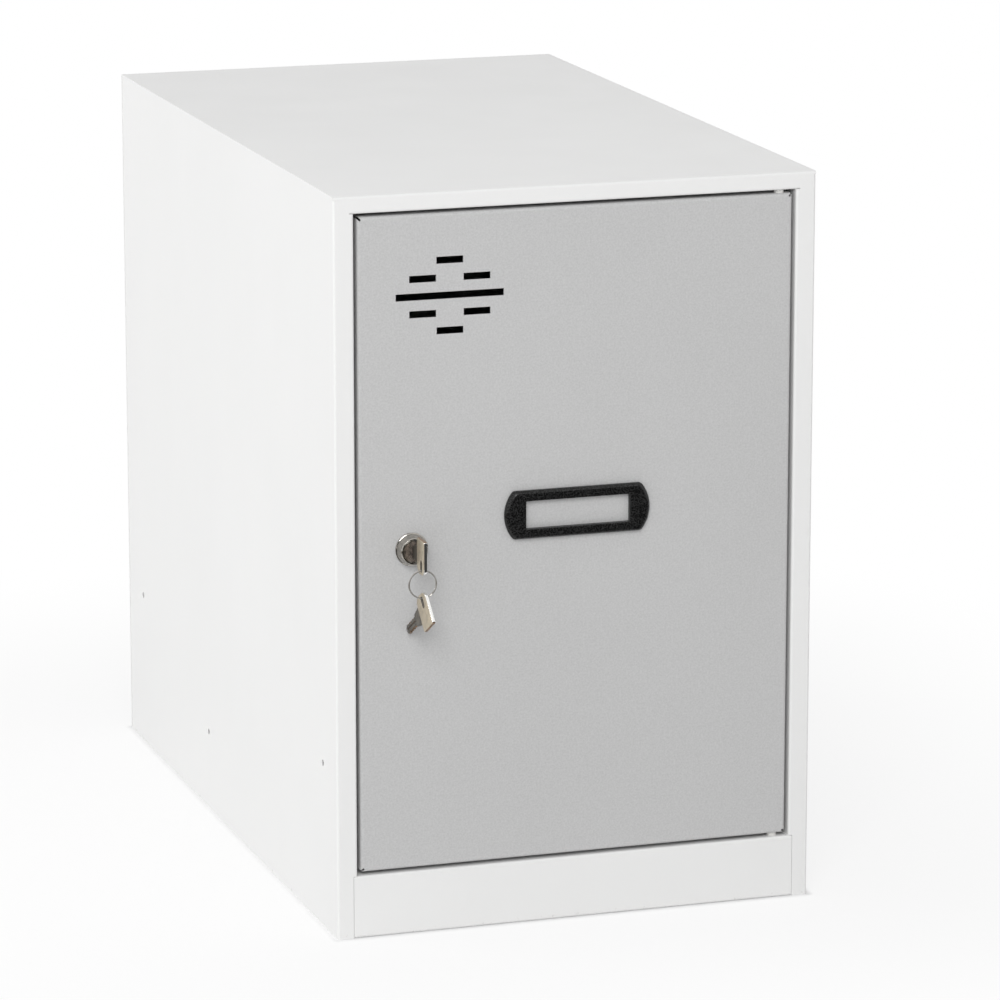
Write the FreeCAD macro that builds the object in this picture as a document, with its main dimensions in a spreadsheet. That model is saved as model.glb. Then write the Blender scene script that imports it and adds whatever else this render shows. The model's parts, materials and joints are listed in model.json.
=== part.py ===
import FreeCAD, Part
import math
import os
import re

import Sketcher

# A one-door sheet-steel locker module: carcass, hinged door, cam lock, key, ring and spare key.
# Axes: X to the right, Y from the front to the back, Z up, millimetres.
# Drawn with the front of the carcass at y = 0, then moved back or forward by front_y.

DRIVING = {
    # carcass
    "cabinet_width": 300.0,
    "cabinet_depth": 500.0,
    "cabinet_height": 450.0,
    "sheet": 0.8,
    "bend": 1.6,
    "stile_width": 12.5,
    "stile_return": 22.0,
    "stop_lip": 8.0,
    "rail_height": 10.5,
    "rail_strip": 2.0,
    "rail_return": 28.0,
    "plinth_height": 38.5,
    "plinth_return": 28.0,
    "plinth_foot": 15.0,
    "frame_inset": 10.0,
    "plinth_seam": 0.2,
    "rear_flange": 12.0,
    "top_flange": 12.0,
    "base_flange": 15.0,
    "floor_flange": 15.0,
    "floor_front": 14.0,
    "flange_relief": 4.0,
    # holes that join one module to the next
    "join_hole_radius": 2.0,
    "join_front": 30.0,
    "join_back": 38.0,
    "join_height": 102.0,
    "lower_hole_depth": 295.0,
    "lower_hole_height": 51.0,
    # door
    "door_gap": 2.2,
    "door_recess": 0.6,
    "door_depth": 18.0,
    "door_lip": 10.0,
    "door_bend": 2.0,
    "corner_slit": 0.9,
    "corner_relief": 1.6,
    "buffer_radius": 3.0,
    "buffer_inset": 60.0,
    "buffer_play": 0.3,
    # vents, placed from the outer left side and the top
    "vent_from_left": 71.2,
    "vent_from_top": 61.7,
    "vent_row_pitch": 10.5,
    "vent_column_offset": 16.7,
    "vent_slot_width": 4.2,
    "vent_short": 16.5,
    "vent_long": 66.5,
    # door pivots
    "pivot_inset": 7.0,
    "pivot_setback": 5.0,
    "pin_radius": 1.75,
    "pin_fit": 0.05,
    "pin_head_radius": 4.0,
    "pin_head": 1.5,
    "pin_reach": 9.0,
    "bush_wall": 0.8,
    "bush_flange": 0.4,
    "bush_length": 5.0,
    "bush_play": 0.3,
    # label holder
    "label_height": 253.0,
    "label_length": 91.0,
    "label_flat": 80.0,
    "label_tall": 29.3,
    "label_corner": 3.0,
    "label_thick": 4.0,
    "label_bevel": 2.4,
    "window_length": 65.3,
    "window_tall": 17.0,
    "window_bevel": 0.8,
    "card_margin": 2.0,
    "card_slot": 1.0,
    "peg_radius": 2.5,
    "peg_reach": 3.0,
    "peg_spacing": 76.0,
    "peg_play": 0.1,
    # cam lock
    "lock_from_left": 47.0,
    "lock_height": 237.0,
    "bezel_radius": 10.0,
    "bezel_face_radius": 8.2,
    "bezel_rim": 1.4,
    "bezel_stand": 7.0,
    "barrel_radius": 8.6,
    "barrel_flat": 7.8,
    "barrel_length": 21.5,
    "barrel_play": 0.15,
    "nut_corner": 12.7,
    "nut_thick": 4.0,
    "plug_radius": 6.4,
    "plug_fit": 0.05,
    "plug_recess": 0.6,
    "collar_radius": 7.2,
    "collar_length": 2.0,
    "keyway_play": 0.3,
    "wafer_thick": 1.2,
    "wafer_half_width": 3.2,
    "wafer_half_height": 5.5,
    "wafer_start": 4.0,
    "wafer_pitch": 2.6,
    "wafer_play": 0.1,
    "tail_half": 3.5,
    "tail_play": 0.1,
    "washer_radius": 8.0,
    "washer_thick": 0.8,
    "cam_thick": 1.6,
    "cam_half_width": 6.0,
    "cam_reach": 34.0,
    "cam_head": 8.0,
    "cam_corner": 3.0,
    "screw_radius": 2.0,
    "screw_head_radius": 4.5,
    "screw_head": 2.4,
    "screw_length": 6.0,
    "screw_play": 0.1,
    # keys and ring
    "key_play": 0.3,
    "blade_thick": 1.8,
    "blade_length": 15.0,
    "blade_half": 2.75,
    "blade_tip": 1.6,
    "blade_tip_half": 1.2,
    "notch_half": 0.8,
    "notch_depth": 0.7,
    "groove_half": 0.5,
    "groove_depth": 0.5,
    "shoulder_length": 7.3,
    "shoulder_half": 3.8,
    "shoulder_root_half": 5.5,
    "bow_thick": 2.0,
    "bow_width": 14.5,
    "bow_length": 21.2,
    "bow_above": 10.6,
    "bow_round": 5.0,
    "bow_corner": 1.0,
    "hole_width": 3.0,
    "hole_length": 7.0,
    "hole_web": 1.8,
    "hole_inset": 6.25,
    "ring_radius": 8.3,
    "wire_radius": 0.55,
    "ring_play": 0.3,
}

# Places that follow from the driving sizes.
DERIVED = {
    "half_width": "cabinet_width / 2",
    "side_inner": "half_width - sheet",
    "stile_inner": "half_width - stile_width",
    "frame_edge": "half_width - frame_inset",
    "plinth_half": "frame_edge - plinth_seam",
    "bend_inner": "bend - sheet",
    "panel_top": "cabinet_height - sheet",
    "strip_bottom": "cabinet_height - rail_strip",
    "rail_bottom": "cabinet_height - rail_height",
    "back_inner": "cabinet_depth - sheet",
    "floor_top": "plinth_height - sheet",
    "join_rear": "cabinet_depth - join_back",
    "door_half": "stile_inner - door_gap",
    "door_bottom": "plinth_height + door_gap",
    "door_top": "rail_bottom - door_gap",
    "door_skin": "door_recess + sheet",
    "door_rear": "door_recess + door_depth",
    "door_bend_inner": "door_bend - sheet",
    "vent_x": "vent_from_left - half_width",
    "vent_height": "cabinet_height - vent_from_top",
    "vent_half_width": "vent_slot_width / 2",
    "vent_short_half": "vent_short / 2",
    "vent_long_half": "vent_long / 2",
    "pivot_x": "door_half - pivot_inset",
    "pivot_y": "door_recess + pivot_setback",
    "bush_bore": "pin_radius + pin_fit",
    "bush_radius": "bush_bore + bush_wall",
    "bush_hole": "bush_radius + pin_fit",
    "bush_rim": "bush_radius + bush_flange",
    "label_half_flat": "label_flat / 2",
    "label_half_tall": "label_tall / 2",
    "label_bulge": "(label_length - label_flat) / 2",
    "label_arc": "(label_half_tall * label_half_tall + label_bulge * label_bulge) / (2 * label_bulge)",
    "label_arc_x": "label_length / 2 - label_arc",
    "label_front": "door_recess - label_thick",
    "window_half": "window_length / 2",
    "window_half_tall": "window_tall / 2",
    "card_half": "window_half + card_margin",
    "card_half_tall": "window_half_tall + card_margin",
    "peg_x": "peg_spacing / 2",
    "peg_hole": "peg_radius + peg_play",
    "lock_x": "lock_from_left - half_width",
    "bezel_front": "door_recess - bezel_stand",
    "barrel_end": "door_recess + barrel_length",
    "barrel_hole": "barrel_radius + barrel_play",
    "barrel_hole_flat": "barrel_flat + barrel_play",
    "barrel_hole_edge": "sqrt(barrel_hole * barrel_hole - barrel_hole_flat * barrel_hole_flat)",
    "nut_half": "nut_corner / 2",
    "nut_flat": "nut_corner * sqrt(3) / 2",
    "plug_bore": "plug_radius + plug_fit",
    "collar_bore": "collar_radius + plug_fit",
    "plug_front": "bezel_front + plug_recess",
    "collar_back": "plug_front + collar_length",
    "keyway_half": "blade_thick / 2 + keyway_play",
    "keyway_half_tall": "blade_half + keyway_play",
    "keyway_depth": "blade_length + 2 * keyway_play",
    "washer_back": "barrel_end + washer_thick",
    "cam_back": "washer_back + cam_thick",
    "tail_hole": "tail_half + tail_play",
    "screw_bore": "screw_radius + screw_play",
    "screw_tip": "cam_back - screw_length",
    "key_y": "plug_front - key_play",
    "blade_half_thick": "blade_thick / 2",
    "groove_floor": "blade_half_thick - groove_depth",
    "bow_half_thick": "bow_thick / 2",
    "bow_edge": "shoulder_length + bow_width",
    "bow_bottom": "bow_above - bow_length",
    "hole_half": "hole_width / 2",
    "hole_y": "hole_inset - bow_edge",
    "hole_low": "bow_bottom + hole_web + hole_half",
    "hole_high": "bow_bottom + hole_web + hole_length - hole_half",
    "hang_z": "bow_bottom + hole_web + wire_radius + ring_play",
    "ring_y": "key_y + hole_y",
    "ring_top": "lock_height + hang_z",
    "ring_z": "ring_top - ring_radius",
    "ring_low": "ring_z - ring_radius",
}

WAFERS = 5
NOTCHES = 4
SPARE_TURN = 8.1  # degrees that the spare key hangs aside

doc = FreeCAD.newDocument("metal_locker")
sheet = doc.addObject("Spreadsheet::Sheet", "Sizes")
parts = []


def fill_sheet():
    row = 0
    for alias, number in DRIVING.items():
        row += 1
        sheet.set(f"A{row}", alias)
        sheet.set(f"B{row}", str(number))
        sheet.setAlias(f"B{row}", alias)
    for alias, formula in DERIVED.items():
        row += 1
        sheet.set(f"A{row}", alias)
        sheet.set(f"B{row}", "=" + formula)
        sheet.setAlias(f"B{row}", alias)
    row += 1
    sheet.set(f"A{row}", "front_y")
    sheet.set(f"B{row}", "0")
    sheet.setAlias(f"B{row}", "front_y")
    doc.recompute()
    return f"B{row}"


def size(alias):
    return float(sheet.get(alias))


# The number behind a sum of sizes such as "half_width - sheet".
def number(text):
    total = 0.0
    for term in text.replace(" ", "").replace("-", "+-").split("+"):
        if term:
            word = term.lstrip("-")
            amount = float(word) if word[0].isdigit() else size(word)
            total += -amount if term.startswith("-") else amount
    return total


# The same sum with each word pointing at its cell.
def bound(text):
    return re.sub(r"[a-z_]+", lambda word: "Sizes." + word.group(), text)


# A sum on the right side as it is, and on the left side with every sign turned.
def across(side, text):
    if side > 0:
        return text
    return "-" + text.replace(" - ", " ~ ").replace(" + ", " - ").replace(" ~ ", " + ")


# A body whose origin is moved to (x, y, z), with y counted from the front of the carcass.
def new_body(label, x="0", y="0", z="0"):
    body = doc.addObject("PartDesign::Body", label)
    body.Label = label
    place(body, x, y, z)
    parts.append(body)
    return body


def place(piece, x, y, z):
    piece.setExpression("Placement.Base.x", bound(x))
    piece.setExpression("Placement.Base.y", bound("front_y + " + y))
    piece.setExpression("Placement.Base.z", bound(z))


# How a sketch numbers the points of its lines and arcs.
def start_of(index):
    return index, 1


def end_of(index):
    return index, 2


def centre_of(index):
    return index, 3


# A sketch on one of the body's own planes, at a given coordinate along that plane's axis.
class Drawing:
    def __init__(self, body, name, plane, at="0"):
        self.plane = plane
        self.sketch = body.newObject("Sketcher::SketchObject", name)
        support = [item for item in body.Origin.OriginFeatures if item.Role == plane + "_Plane"]
        self.sketch.AttachmentSupport = (support[0], [""])
        self.sketch.MapMode = "FlatFace"
        lift = f"-({bound(at)})" if plane == "XZ" else bound(at)
        self.sketch.setExpression("AttachmentOffset.Base.z", lift)

    def hold(self, kind, text, *where):
        index = self.sketch.addConstraint(Sketcher.Constraint(kind, *where, number(text)))
        self.sketch.setExpression(f"Constraints[{index}]", bound(text))

    # A closed outline. Each corner is (x, y), or (x, y, centre x, centre y) where an arc leads to the next.
    # Arcs run anticlockwise.
    def outline(self, corners):
        first = self.sketch.GeometryCount
        points = [FreeCAD.Vector(number(corner[0]), number(corner[1]), 0) for corner in corners]
        following = points[1:] + points[:1]
        for corner, start, end in zip(corners, points, following):
            self.sketch.addGeometry(self.segment(corner, start, end), False)
        for i in range(len(corners)):
            after = first + (i + 1) % len(corners)
            joined = Sketcher.Constraint("Coincident", *end_of(first + i), *start_of(after))
            self.sketch.addConstraint(joined)
        for i, corner in enumerate(corners):
            self.hold("DistanceX", corner[0], *start_of(first + i))
            self.hold("DistanceY", corner[1], *start_of(first + i))
            if len(corner) > 2:
                chord = following[i] - points[i]
                upright = abs(chord.y) > abs(chord.x)
                if upright:
                    self.hold("DistanceX", corner[2], *centre_of(first + i))
                else:
                    self.hold("DistanceY", corner[3], *centre_of(first + i))
        return self

    def segment(self, corner, start, end):
        if len(corner) == 2:
            return Part.LineSegment(start, end)
        centre = FreeCAD.Vector(number(corner[2]), number(corner[3]), 0)
        spokes = (start - centre, end - centre)
        angles = [math.atan2(spoke.y, spoke.x) for spoke in spokes]
        turn = (angles[1] - angles[0]) % (2 * math.pi)
        circle = Part.Circle(centre, FreeCAD.Vector(0, 0, 1), spokes[0].Length)
        return Part.ArcOfCircle(circle, angles[0], angles[0] + turn)

    def rectangle(self, left, low, right, high):
        return self.outline([(left, low), (right, low), (right, high), (left, high)])

    def circle(self, x, y, radius):
        index = self.sketch.GeometryCount
        centre = FreeCAD.Vector(number(x), number(y), 0)
        self.sketch.addGeometry(Part.Circle(centre, FreeCAD.Vector(0, 0, 1), number(radius)), False)
        self.hold("DistanceX", x, *centre_of(index))
        self.hold("DistanceY", y, *centre_of(index))
        self.hold("Radius", radius, index)
        return self


def along_axis(drawing, forward):
    return forward if drawing.plane != "XZ" else not forward


def pad(body, name, drawing, length, forward=True):
    feature = body.newObject("PartDesign::Pad", name)
    feature.Profile = drawing.sketch
    feature.setExpression("Length", bound(length))
    feature.Reversed = not along_axis(drawing, forward)
    return feature


def pocket(body, name, drawing, length, forward=True):
    feature = body.newObject("PartDesign::Pocket", name)
    feature.Profile = drawing.sketch
    feature.setExpression("Length", bound(length))
    feature.Reversed = along_axis(drawing, forward)
    return feature


def revolve(body, name, drawing, axis):
    feature = body.newObject("PartDesign::Revolution", name)
    feature.Profile = drawing.sketch
    feature.ReferenceAxis = (drawing.sketch, [axis])
    feature.Angle = 360.0
    return feature


# Straight edges along one axis that pass through the given pairs of the other two coordinates.
def edges_along(shape, axis, places):
    found = []
    others = [i for i in range(3) if i != "XYZ".index(axis)]
    targets = [(number(u), number(v)) for u, v in places]
    for index, edge in enumerate(shape.Edges, 1):
        ends = [vertex.Point for vertex in edge.Vertexes]
        for target in targets:
            if all(abs(end[k] - t) < 1e-4 for end in ends for k, t in zip(others, target)):
                found.append(f"Edge{index}")
    return found


def soften(body, name, kind, amount, pick):
    doc.recompute()
    base = body.Tip
    feature = body.newObject("PartDesign::" + kind, name)
    feature.Base = (base, pick(base.Shape))
    feature.setExpression("Radius" if kind == "Fillet" else "Size", bound(amount))
    return feature


def fold(body, name, radius, axis, places):
    return soften(body, name, "Fillet", radius, lambda shape: edges_along(shape, axis, places))


# A side of the carcass: outer wall, folded stile and return, rear, top and base flanges.
def side_panel(label, side, lip):
    body = new_body(label)

    def x(text):
        return across(side, text)

    outer = [
        (x("stile_inner"), "0"),
        (x("half_width"), "0"),
        (x("half_width"), "back_inner"),
        (x("half_width - rear_flange"), "back_inner"),
        (x("half_width - rear_flange"), "back_inner - sheet"),
        (x("side_inner"), "back_inner - sheet"),
        (x("side_inner"), "sheet"),
        (x("stile_inner + sheet"), "sheet"),
        (x("stile_inner + sheet"), "stile_return"),
    ]
    outside = [outer[0], outer[1], outer[2]]
    inside = [outer[5], outer[6], outer[7]]
    if lip:
        outer += [
            (x("stile_inner - stop_lip"), "stile_return"),
            (x("stile_inner - stop_lip"), "stile_return - sheet"),
            (x("stile_inner"), "stile_return - sheet"),
        ]
        outside.append(outer[8])
        inside.append(outer[11])
    else:
        outer.append((x("stile_inner"), "stile_return"))
    pad(body, label + "_wall", Drawing(body, label + "_plan", "XY").outline(outer), "panel_top")
    fold(body, label + "_outer_bends", "bend", "Z", outside)
    fold(body, label + "_inner_bends", "bend_inner", "Z", inside)

    # the stile loses its return where the plinth and the top rail meet it
    near, far = x("stile_inner - stop_lip - sheet"), x("frame_edge")
    foot = Drawing(body, label + "_plinth_notch", "XY")
    foot.rectangle(near, "-sheet", far, "stile_return + sheet")
    pocket(body, label + "_plinth_cut", foot, "plinth_height")
    head = Drawing(body, label + "_rail_notch", "XY", "rail_bottom")
    head.rectangle(near, "-sheet", far, "stile_return + sheet")
    pocket(body, label + "_rail_cut", head, "rail_height")
    strip = Drawing(body, label + "_strip_notch", "XY", "strip_bottom")
    strip.rectangle(x("frame_edge - sheet"), "-sheet", x("half_width + sheet"), "bend")
    pocket(body, label + "_strip_cut", strip, "rail_strip")

    rear = "back_inner - flange_relief"
    top = Drawing(body, label + "_top_plan", "XY", "panel_top - sheet")
    top.rectangle(x("side_inner - top_flange"), "rail_return", x("side_inner"), rear)
    pad(body, label + "_top_flange", top, "sheet")
    base = Drawing(body, label + "_base_plan", "XY")
    base.rectangle(x("side_inner - base_flange"), "plinth_foot + flange_relief", x("side_inner"), rear)
    pad(body, label + "_base_flange", base, "sheet")

    holes = Drawing(body, label + "_hole_plan", "YZ", x("half_width"))
    for y, z in join_holes():
        holes.circle(y, z, "join_hole_radius")
    pocket(body, label + "_holes", holes, "sheet + sheet", forward=side < 0)


def join_holes():
    return [
        ("join_front", "join_height"),
        ("join_rear", "join_height"),
        ("lower_hole_depth", "lower_hole_height"),
    ]


# The top sheet, folded down at the front into the rail and back again under the door head.
def top_panel():
    body = new_body("top_panel")
    profile = [
        ("0", "cabinet_height"),
        ("cabinet_depth", "cabinet_height"),
        ("cabinet_depth", "panel_top"),
        ("sheet", "panel_top"),
        ("sheet", "rail_bottom + sheet"),
        ("rail_return", "rail_bottom + sheet"),
        ("rail_return", "rail_bottom"),
        ("0", "rail_bottom"),
    ]
    drawing = Drawing(body, "top_profile", "YZ", "-half_width").outline(profile)
    pad(body, "top_sheet", drawing, "cabinet_width")
    fold(body, "top_outer_bends", "bend", "X", [profile[0], profile[7]])
    fold(body, "top_inner_bends", "bend_inner", "X", [profile[3], profile[4]])
    for side, name in ((-1, "left"), (1, "right")):
        end = Drawing(body, f"rail_{name}_plan", "YZ", across(side, "half_width"))
        end.rectangle("-sheet", "rail_bottom - sheet", "rail_return + sheet", "strip_bottom")
        pocket(body, f"rail_{name}_notch", end, "frame_inset", forward=side < 0)
    pin_hole(body, "top_pin_hole", "rail_bottom")


def pin_hole(body, name, z):
    hole = Drawing(body, name + "_plan", "XY", z + " - sheet")
    hole.circle("pivot_x", "pivot_y", "pin_radius + pin_fit")
    pocket(body, name, hole, "sheet + sheet + sheet")


def back_panel():
    body = new_body("back_panel")
    flat = Drawing(body, "back_plan", "XZ", "back_inner")
    flat.rectangle("-half_width", "0", "half_width", "panel_top")
    pad(body, "back_sheet", flat, "sheet")


# The compartment floor, tucked under the plinth's return, with its sides folded down.
def floor_panel():
    body = new_body("floor_panel")
    left, right = "-side_inner", "side_inner"
    low = "floor_top - floor_flange"
    profile = [
        (left, low),
        (left + " + sheet", low),
        (left + " + sheet", "floor_top - sheet"),
        (right + " - sheet", "floor_top - sheet"),
        (right + " - sheet", low),
        (right, low),
        (right, "floor_top"),
        (left, "floor_top"),
    ]
    drawing = Drawing(body, "floor_profile", "XZ", "floor_front").outline(profile)
    pad(body, "floor_sheet", drawing, "back_inner - sheet - bend - floor_front")
    fold(body, "floor_outer_bends", "bend", "Y", [profile[6], profile[7]])
    fold(body, "floor_inner_bends", "bend_inner", "Y", [profile[2], profile[3]])


# The kick plate between the stiles, folded back at the top and at the foot.
def front_plinth():
    body = new_body("front_plinth")
    profile = [
        ("0", "0"),
        ("plinth_foot", "0"),
        ("plinth_foot", "sheet"),
        ("sheet", "sheet"),
        ("sheet", "floor_top"),
        ("plinth_return", "floor_top"),
        ("plinth_return", "plinth_height"),
        ("0", "plinth_height"),
    ]
    drawing = Drawing(body, "plinth_profile", "YZ", "-plinth_half").outline(profile)
    pad(body, "plinth_sheet", drawing, "plinth_half + plinth_half")
    fold(body, "plinth_outer_bends", "bend", "X", [profile[0], profile[7]])
    fold(body, "plinth_inner_bends", "bend_inner", "X", [profile[3], profile[4]])
    pin_hole(body, "plinth_pin_hole", "floor_top")


# A pivot pin riveted through the frame, and the flanged bush it turns in. Up is +1 for the top pair.
def hinge_pin(label, up, seat, tip):
    body = new_body(label, "pivot_x", "pivot_y")
    head = f"{seat} {'+' if up > 0 else '-'} pin_head"
    profile = [
        ("0", tip),
        ("pin_radius", tip),
        ("pin_radius", seat),
        ("pin_head_radius", seat),
        ("pin_head_radius", head),
        ("0", head),
    ]
    revolve(body, label + "_turned", Drawing(body, label + "_profile", "XZ").outline(profile), "V_Axis")


def hinge_bush(label, door_edge, rim, tip):
    body = new_body(label, "pivot_x", "pivot_y")
    profile = [
        ("bush_bore", tip),
        ("bush_radius", tip),
        ("bush_radius", door_edge),
        ("bush_rim", door_edge),
        ("bush_rim", rim),
        ("bush_bore", rim),
    ]
    revolve(body, label + "_turned", Drawing(body, label + "_profile", "XZ").outline(profile), "V_Axis")


# Two rubber buffers on the stop lip, which the closed door meets.
def door_buffers():
    discs = []
    for index, z in enumerate(("door_bottom + buffer_inset", "door_top - buffer_inset")):
        disc = doc.addObject("Part::Cylinder", f"buffer_{index + 1}")
        disc.setExpression("Radius", bound("buffer_radius"))
        disc.setExpression("Height", bound("stile_return - sheet - door_rear - buffer_play"))
        disc.Placement.Rotation = FreeCAD.Rotation(FreeCAD.Vector(1, 0, 0), -90)
        disc.setExpression("Placement.Base.x", "-(Sizes.stile_inner - Sizes.stop_lip / 2)")
        disc.setExpression("Placement.Base.y", bound("door_rear + buffer_play"))
        disc.setExpression("Placement.Base.z", bound(z))
        discs.append(disc)
    group("door_buffers", discs)


def group(label, pieces, x="0", y="0", z="0"):
    whole = doc.addObject("Part::Compound", label)
    whole.Label = label
    whole.Links = pieces
    place(whole, x, y, z)
    parts.append(whole)


# The door: a folded pan with lips at the back of its two upright edges.
def door_panel():
    body = new_body("door_panel")
    face = Drawing(body, "door_plan", "XZ", "door_recess")
    face.rectangle("-door_half", "door_bottom", "door_half", "door_top")
    pad(body, "door_block", face, "door_depth")
    uprights = [("-door_half", "door_recess"), ("door_half", "door_recess")]
    levels = [("door_recess", "door_bottom"), ("door_recess", "door_top")]

    def front_edges(shape):
        return edges_along(shape, "Z", uprights) + edges_along(shape, "X", levels)

    soften(body, "door_outer_bends", "Fillet", "door_bend", front_edges)
    hollow = Drawing(body, "door_hollow_plan", "XZ", "door_rear")
    hollow.rectangle("-door_half + sheet", "door_bottom + sheet", "door_half - sheet", "door_top - sheet")
    pocket(body, "door_hollow", hollow, "door_depth - sheet", forward=False)
    inner_uprights = [("-door_half + sheet", "door_skin"), ("door_half - sheet", "door_skin")]
    inner_levels = [("door_skin", "door_bottom + sheet"), ("door_skin", "door_top - sheet")]

    def back_edges(shape):
        return edges_along(shape, "Z", inner_uprights) + edges_along(shape, "X", inner_levels)

    soften(body, "door_inner_bends", "Fillet", "door_bend_inner", back_edges)
    for side, name in ((-1, "left"), (1, "right")):
        lip = Drawing(body, f"door_{name}_lip_plan", "XZ", "door_rear")
        inner, outer = across(side, "door_half - door_lip"), across(side, "door_half - sheet")
        lip.rectangle(inner, "door_bottom + sheet", outer, "door_top - sheet")
        pad(body, f"door_{name}_lip", lip, "sheet", forward=False)
    door_cuts(body)


def door_cuts(body):
    reliefs = Drawing(body, "corner_relief_plan", "XZ", "door_recess")
    for side in (-1, 1):
        for edge, inward in (("door_bottom", "+"), ("door_top", "-")):
            corner_slit(reliefs, side, edge, inward)
    pocket(body, "corner_reliefs", reliefs, "door_depth")
    vents = Drawing(body, "vent_plan", "XZ", "door_recess")
    for row in (-2, -1, 0, 1, 2):
        z = "vent_height" + (" + vent_row_pitch" if row > 0 else " - vent_row_pitch") * abs(row)
        if row == 0:
            vent_slot(vents, "vent_x", z, "vent_long_half")
        elif abs(row) == 1:
            vent_slot(vents, "vent_x - vent_column_offset", z, "vent_short_half")
            vent_slot(vents, "vent_x + vent_column_offset", z, "vent_short_half")
        else:
            vent_slot(vents, "vent_x", z, "vent_short_half")
    pocket(body, "door_vents", vents, "sheet")
    pegs = Drawing(body, "peg_hole_plan", "XZ", "door_recess")
    pegs.circle("-peg_x", "label_height", "peg_hole").circle("peg_x", "label_height", "peg_hole")
    pocket(body, "peg_holes", pegs, "sheet")
    lock = Drawing(body, "lock_hole_plan", "XZ", "door_recess")
    double_flat(lock, "lock_x", "lock_height", "barrel_hole_flat", "barrel_hole_edge")
    pocket(body, "lock_hole", lock, "sheet")
    for name, z in (("bottom", "door_bottom"), ("top", "door_top - sheet")):
        hole = Drawing(body, f"{name}_bush_plan", "XY", z).circle("pivot_x", "pivot_y", "bush_hole")
        pocket(body, f"{name}_bush_hole", hole, "sheet")


# One square-ended slot along x, half its length to each side.
def vent_slot(drawing, x, z, half_length):
    low, high = f"{z} - vent_half_width", f"{z} + vent_half_width"
    drawing.rectangle(f"{x} - {half_length}", low, f"{x} + {half_length}", high)


# The open mitre where two folded flanges meet, cut in from the door's corner at 45 degrees.
def corner_slit(drawing, side, edge, inward):
    def corner(along, up):
        return across(side, "door_half" + along), edge + up.replace("+", inward)

    slit, relief = "corner_slit", "corner_relief"
    drawing.outline(
        [
            corner("", ""),
            corner(f" - {slit}", ""),
            corner(f" - {slit} - {relief}", f" + {relief}"),
            corner(f" - {relief}", f" + {slit} + {relief}"),
            corner("", f" + {slit}"),
        ]
    )


# A circle with two upright flats, the section of the lock's barrel.
def double_flat(drawing, x, z, flat, edge):
    left, right = f"{x} - {flat}", f"{x} + {flat}"
    low, high = f"{z} - {edge}", f"{z} + {edge}"
    return drawing.outline([(right, low), (right, high, x, z), (left, high), (left, low, x, z)])


# An open label frame with bulging ends, a card recess behind its window and two pegs through the door.
def label_holder():
    body = new_body("label_holder", z="label_height")
    left, right = "-label_half_flat", "label_half_flat"
    low, high = "-label_half_tall", "label_half_tall"
    outline = [
        (left, low),
        (right, low, "label_arc_x", "0"),
        (right, high),
        (left, high, "-label_arc_x", "0"),
    ]
    face = Drawing(body, "label_plan", "XZ", "door_recess").outline(outline)
    pad(body, "label_plate", face, "label_thick", forward=False)
    fold(body, "label_corners", "label_corner", "Y", [(x, z) for x in (left, right) for z in (low, high)])
    front = number("label_front")

    def front_rim(shape):
        rim = []
        for index, edge in enumerate(shape.Edges, 1):
            if all(abs(vertex.Y - front) < 1e-4 for vertex in edge.Vertexes):
                rim.append(f"Edge{index}")
        return rim

    soften(body, "label_bevels", "Chamfer", "label_bevel", front_rim)
    window = Drawing(body, "window_plan", "XZ", "door_recess")
    window.rectangle("-window_half", "-window_half_tall", "window_half", "window_half_tall")
    pocket(body, "label_window", window, "label_thick", forward=False)
    around = [("-window_half", "label_front"), ("window_half", "label_front")]
    beside = [("label_front", "-window_half_tall"), ("label_front", "window_half_tall")]

    def window_rim(shape):
        return edges_along(shape, "Z", around) + edges_along(shape, "X", beside)

    soften(body, "window_bevels", "Chamfer", "window_bevel", window_rim)
    card = Drawing(body, "card_plan", "XZ", "door_recess")
    card.rectangle("-card_half", "-card_half_tall", "card_half", "card_half_tall")
    pocket(body, "card_recess", card, "card_slot", forward=False)
    pegs = Drawing(body, "peg_plan", "XZ", "door_recess")
    pegs.circle("-peg_x", "0", "peg_radius").circle("peg_x", "0", "peg_radius")
    pad(body, "label_pegs", pegs, "peg_reach")


# Chrome bezel and flatted barrel in one casting, with a stepped bore for the plug.
def lock_housing():
    body = new_body("lock_housing", "lock_x", z="lock_height")
    profile = [
        ("bezel_front", "collar_bore"),
        ("collar_back", "collar_bore"),
        ("collar_back", "plug_bore"),
        ("barrel_end", "plug_bore"),
        ("barrel_end", "barrel_radius"),
        ("door_recess", "barrel_radius"),
        ("door_recess", "bezel_radius"),
        ("door_recess - bezel_rim", "bezel_radius"),
        ("bezel_front", "bezel_face_radius"),
    ]
    revolve(body, "housing_turned", Drawing(body, "housing_profile", "YZ").outline(profile), "H_Axis")
    flats = Drawing(body, "flat_plan", "XZ", "barrel_end")
    for side in (-1, 1):
        inner, outer = across(side, "barrel_flat"), across(side, "bezel_radius")
        flats.rectangle(inner, "-bezel_radius", outer, "bezel_radius")
    pocket(body, "barrel_flats", flats, "barrel_length", forward=False)


def lock_nut():
    body = new_body("lock_nut", "lock_x", z="lock_height")
    hexagon = [
        ("nut_corner", "0"),
        ("nut_half", "nut_flat"),
        ("-nut_half", "nut_flat"),
        ("-nut_corner", "0"),
        ("-nut_half", "-nut_flat"),
        ("nut_half", "-nut_flat"),
    ]
    plan = Drawing(body, "nut_plan", "XZ", "door_skin").outline(hexagon).circle("0", "0", "barrel_hole")
    pad(body, "nut_block", plan, "nut_thick")


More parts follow.
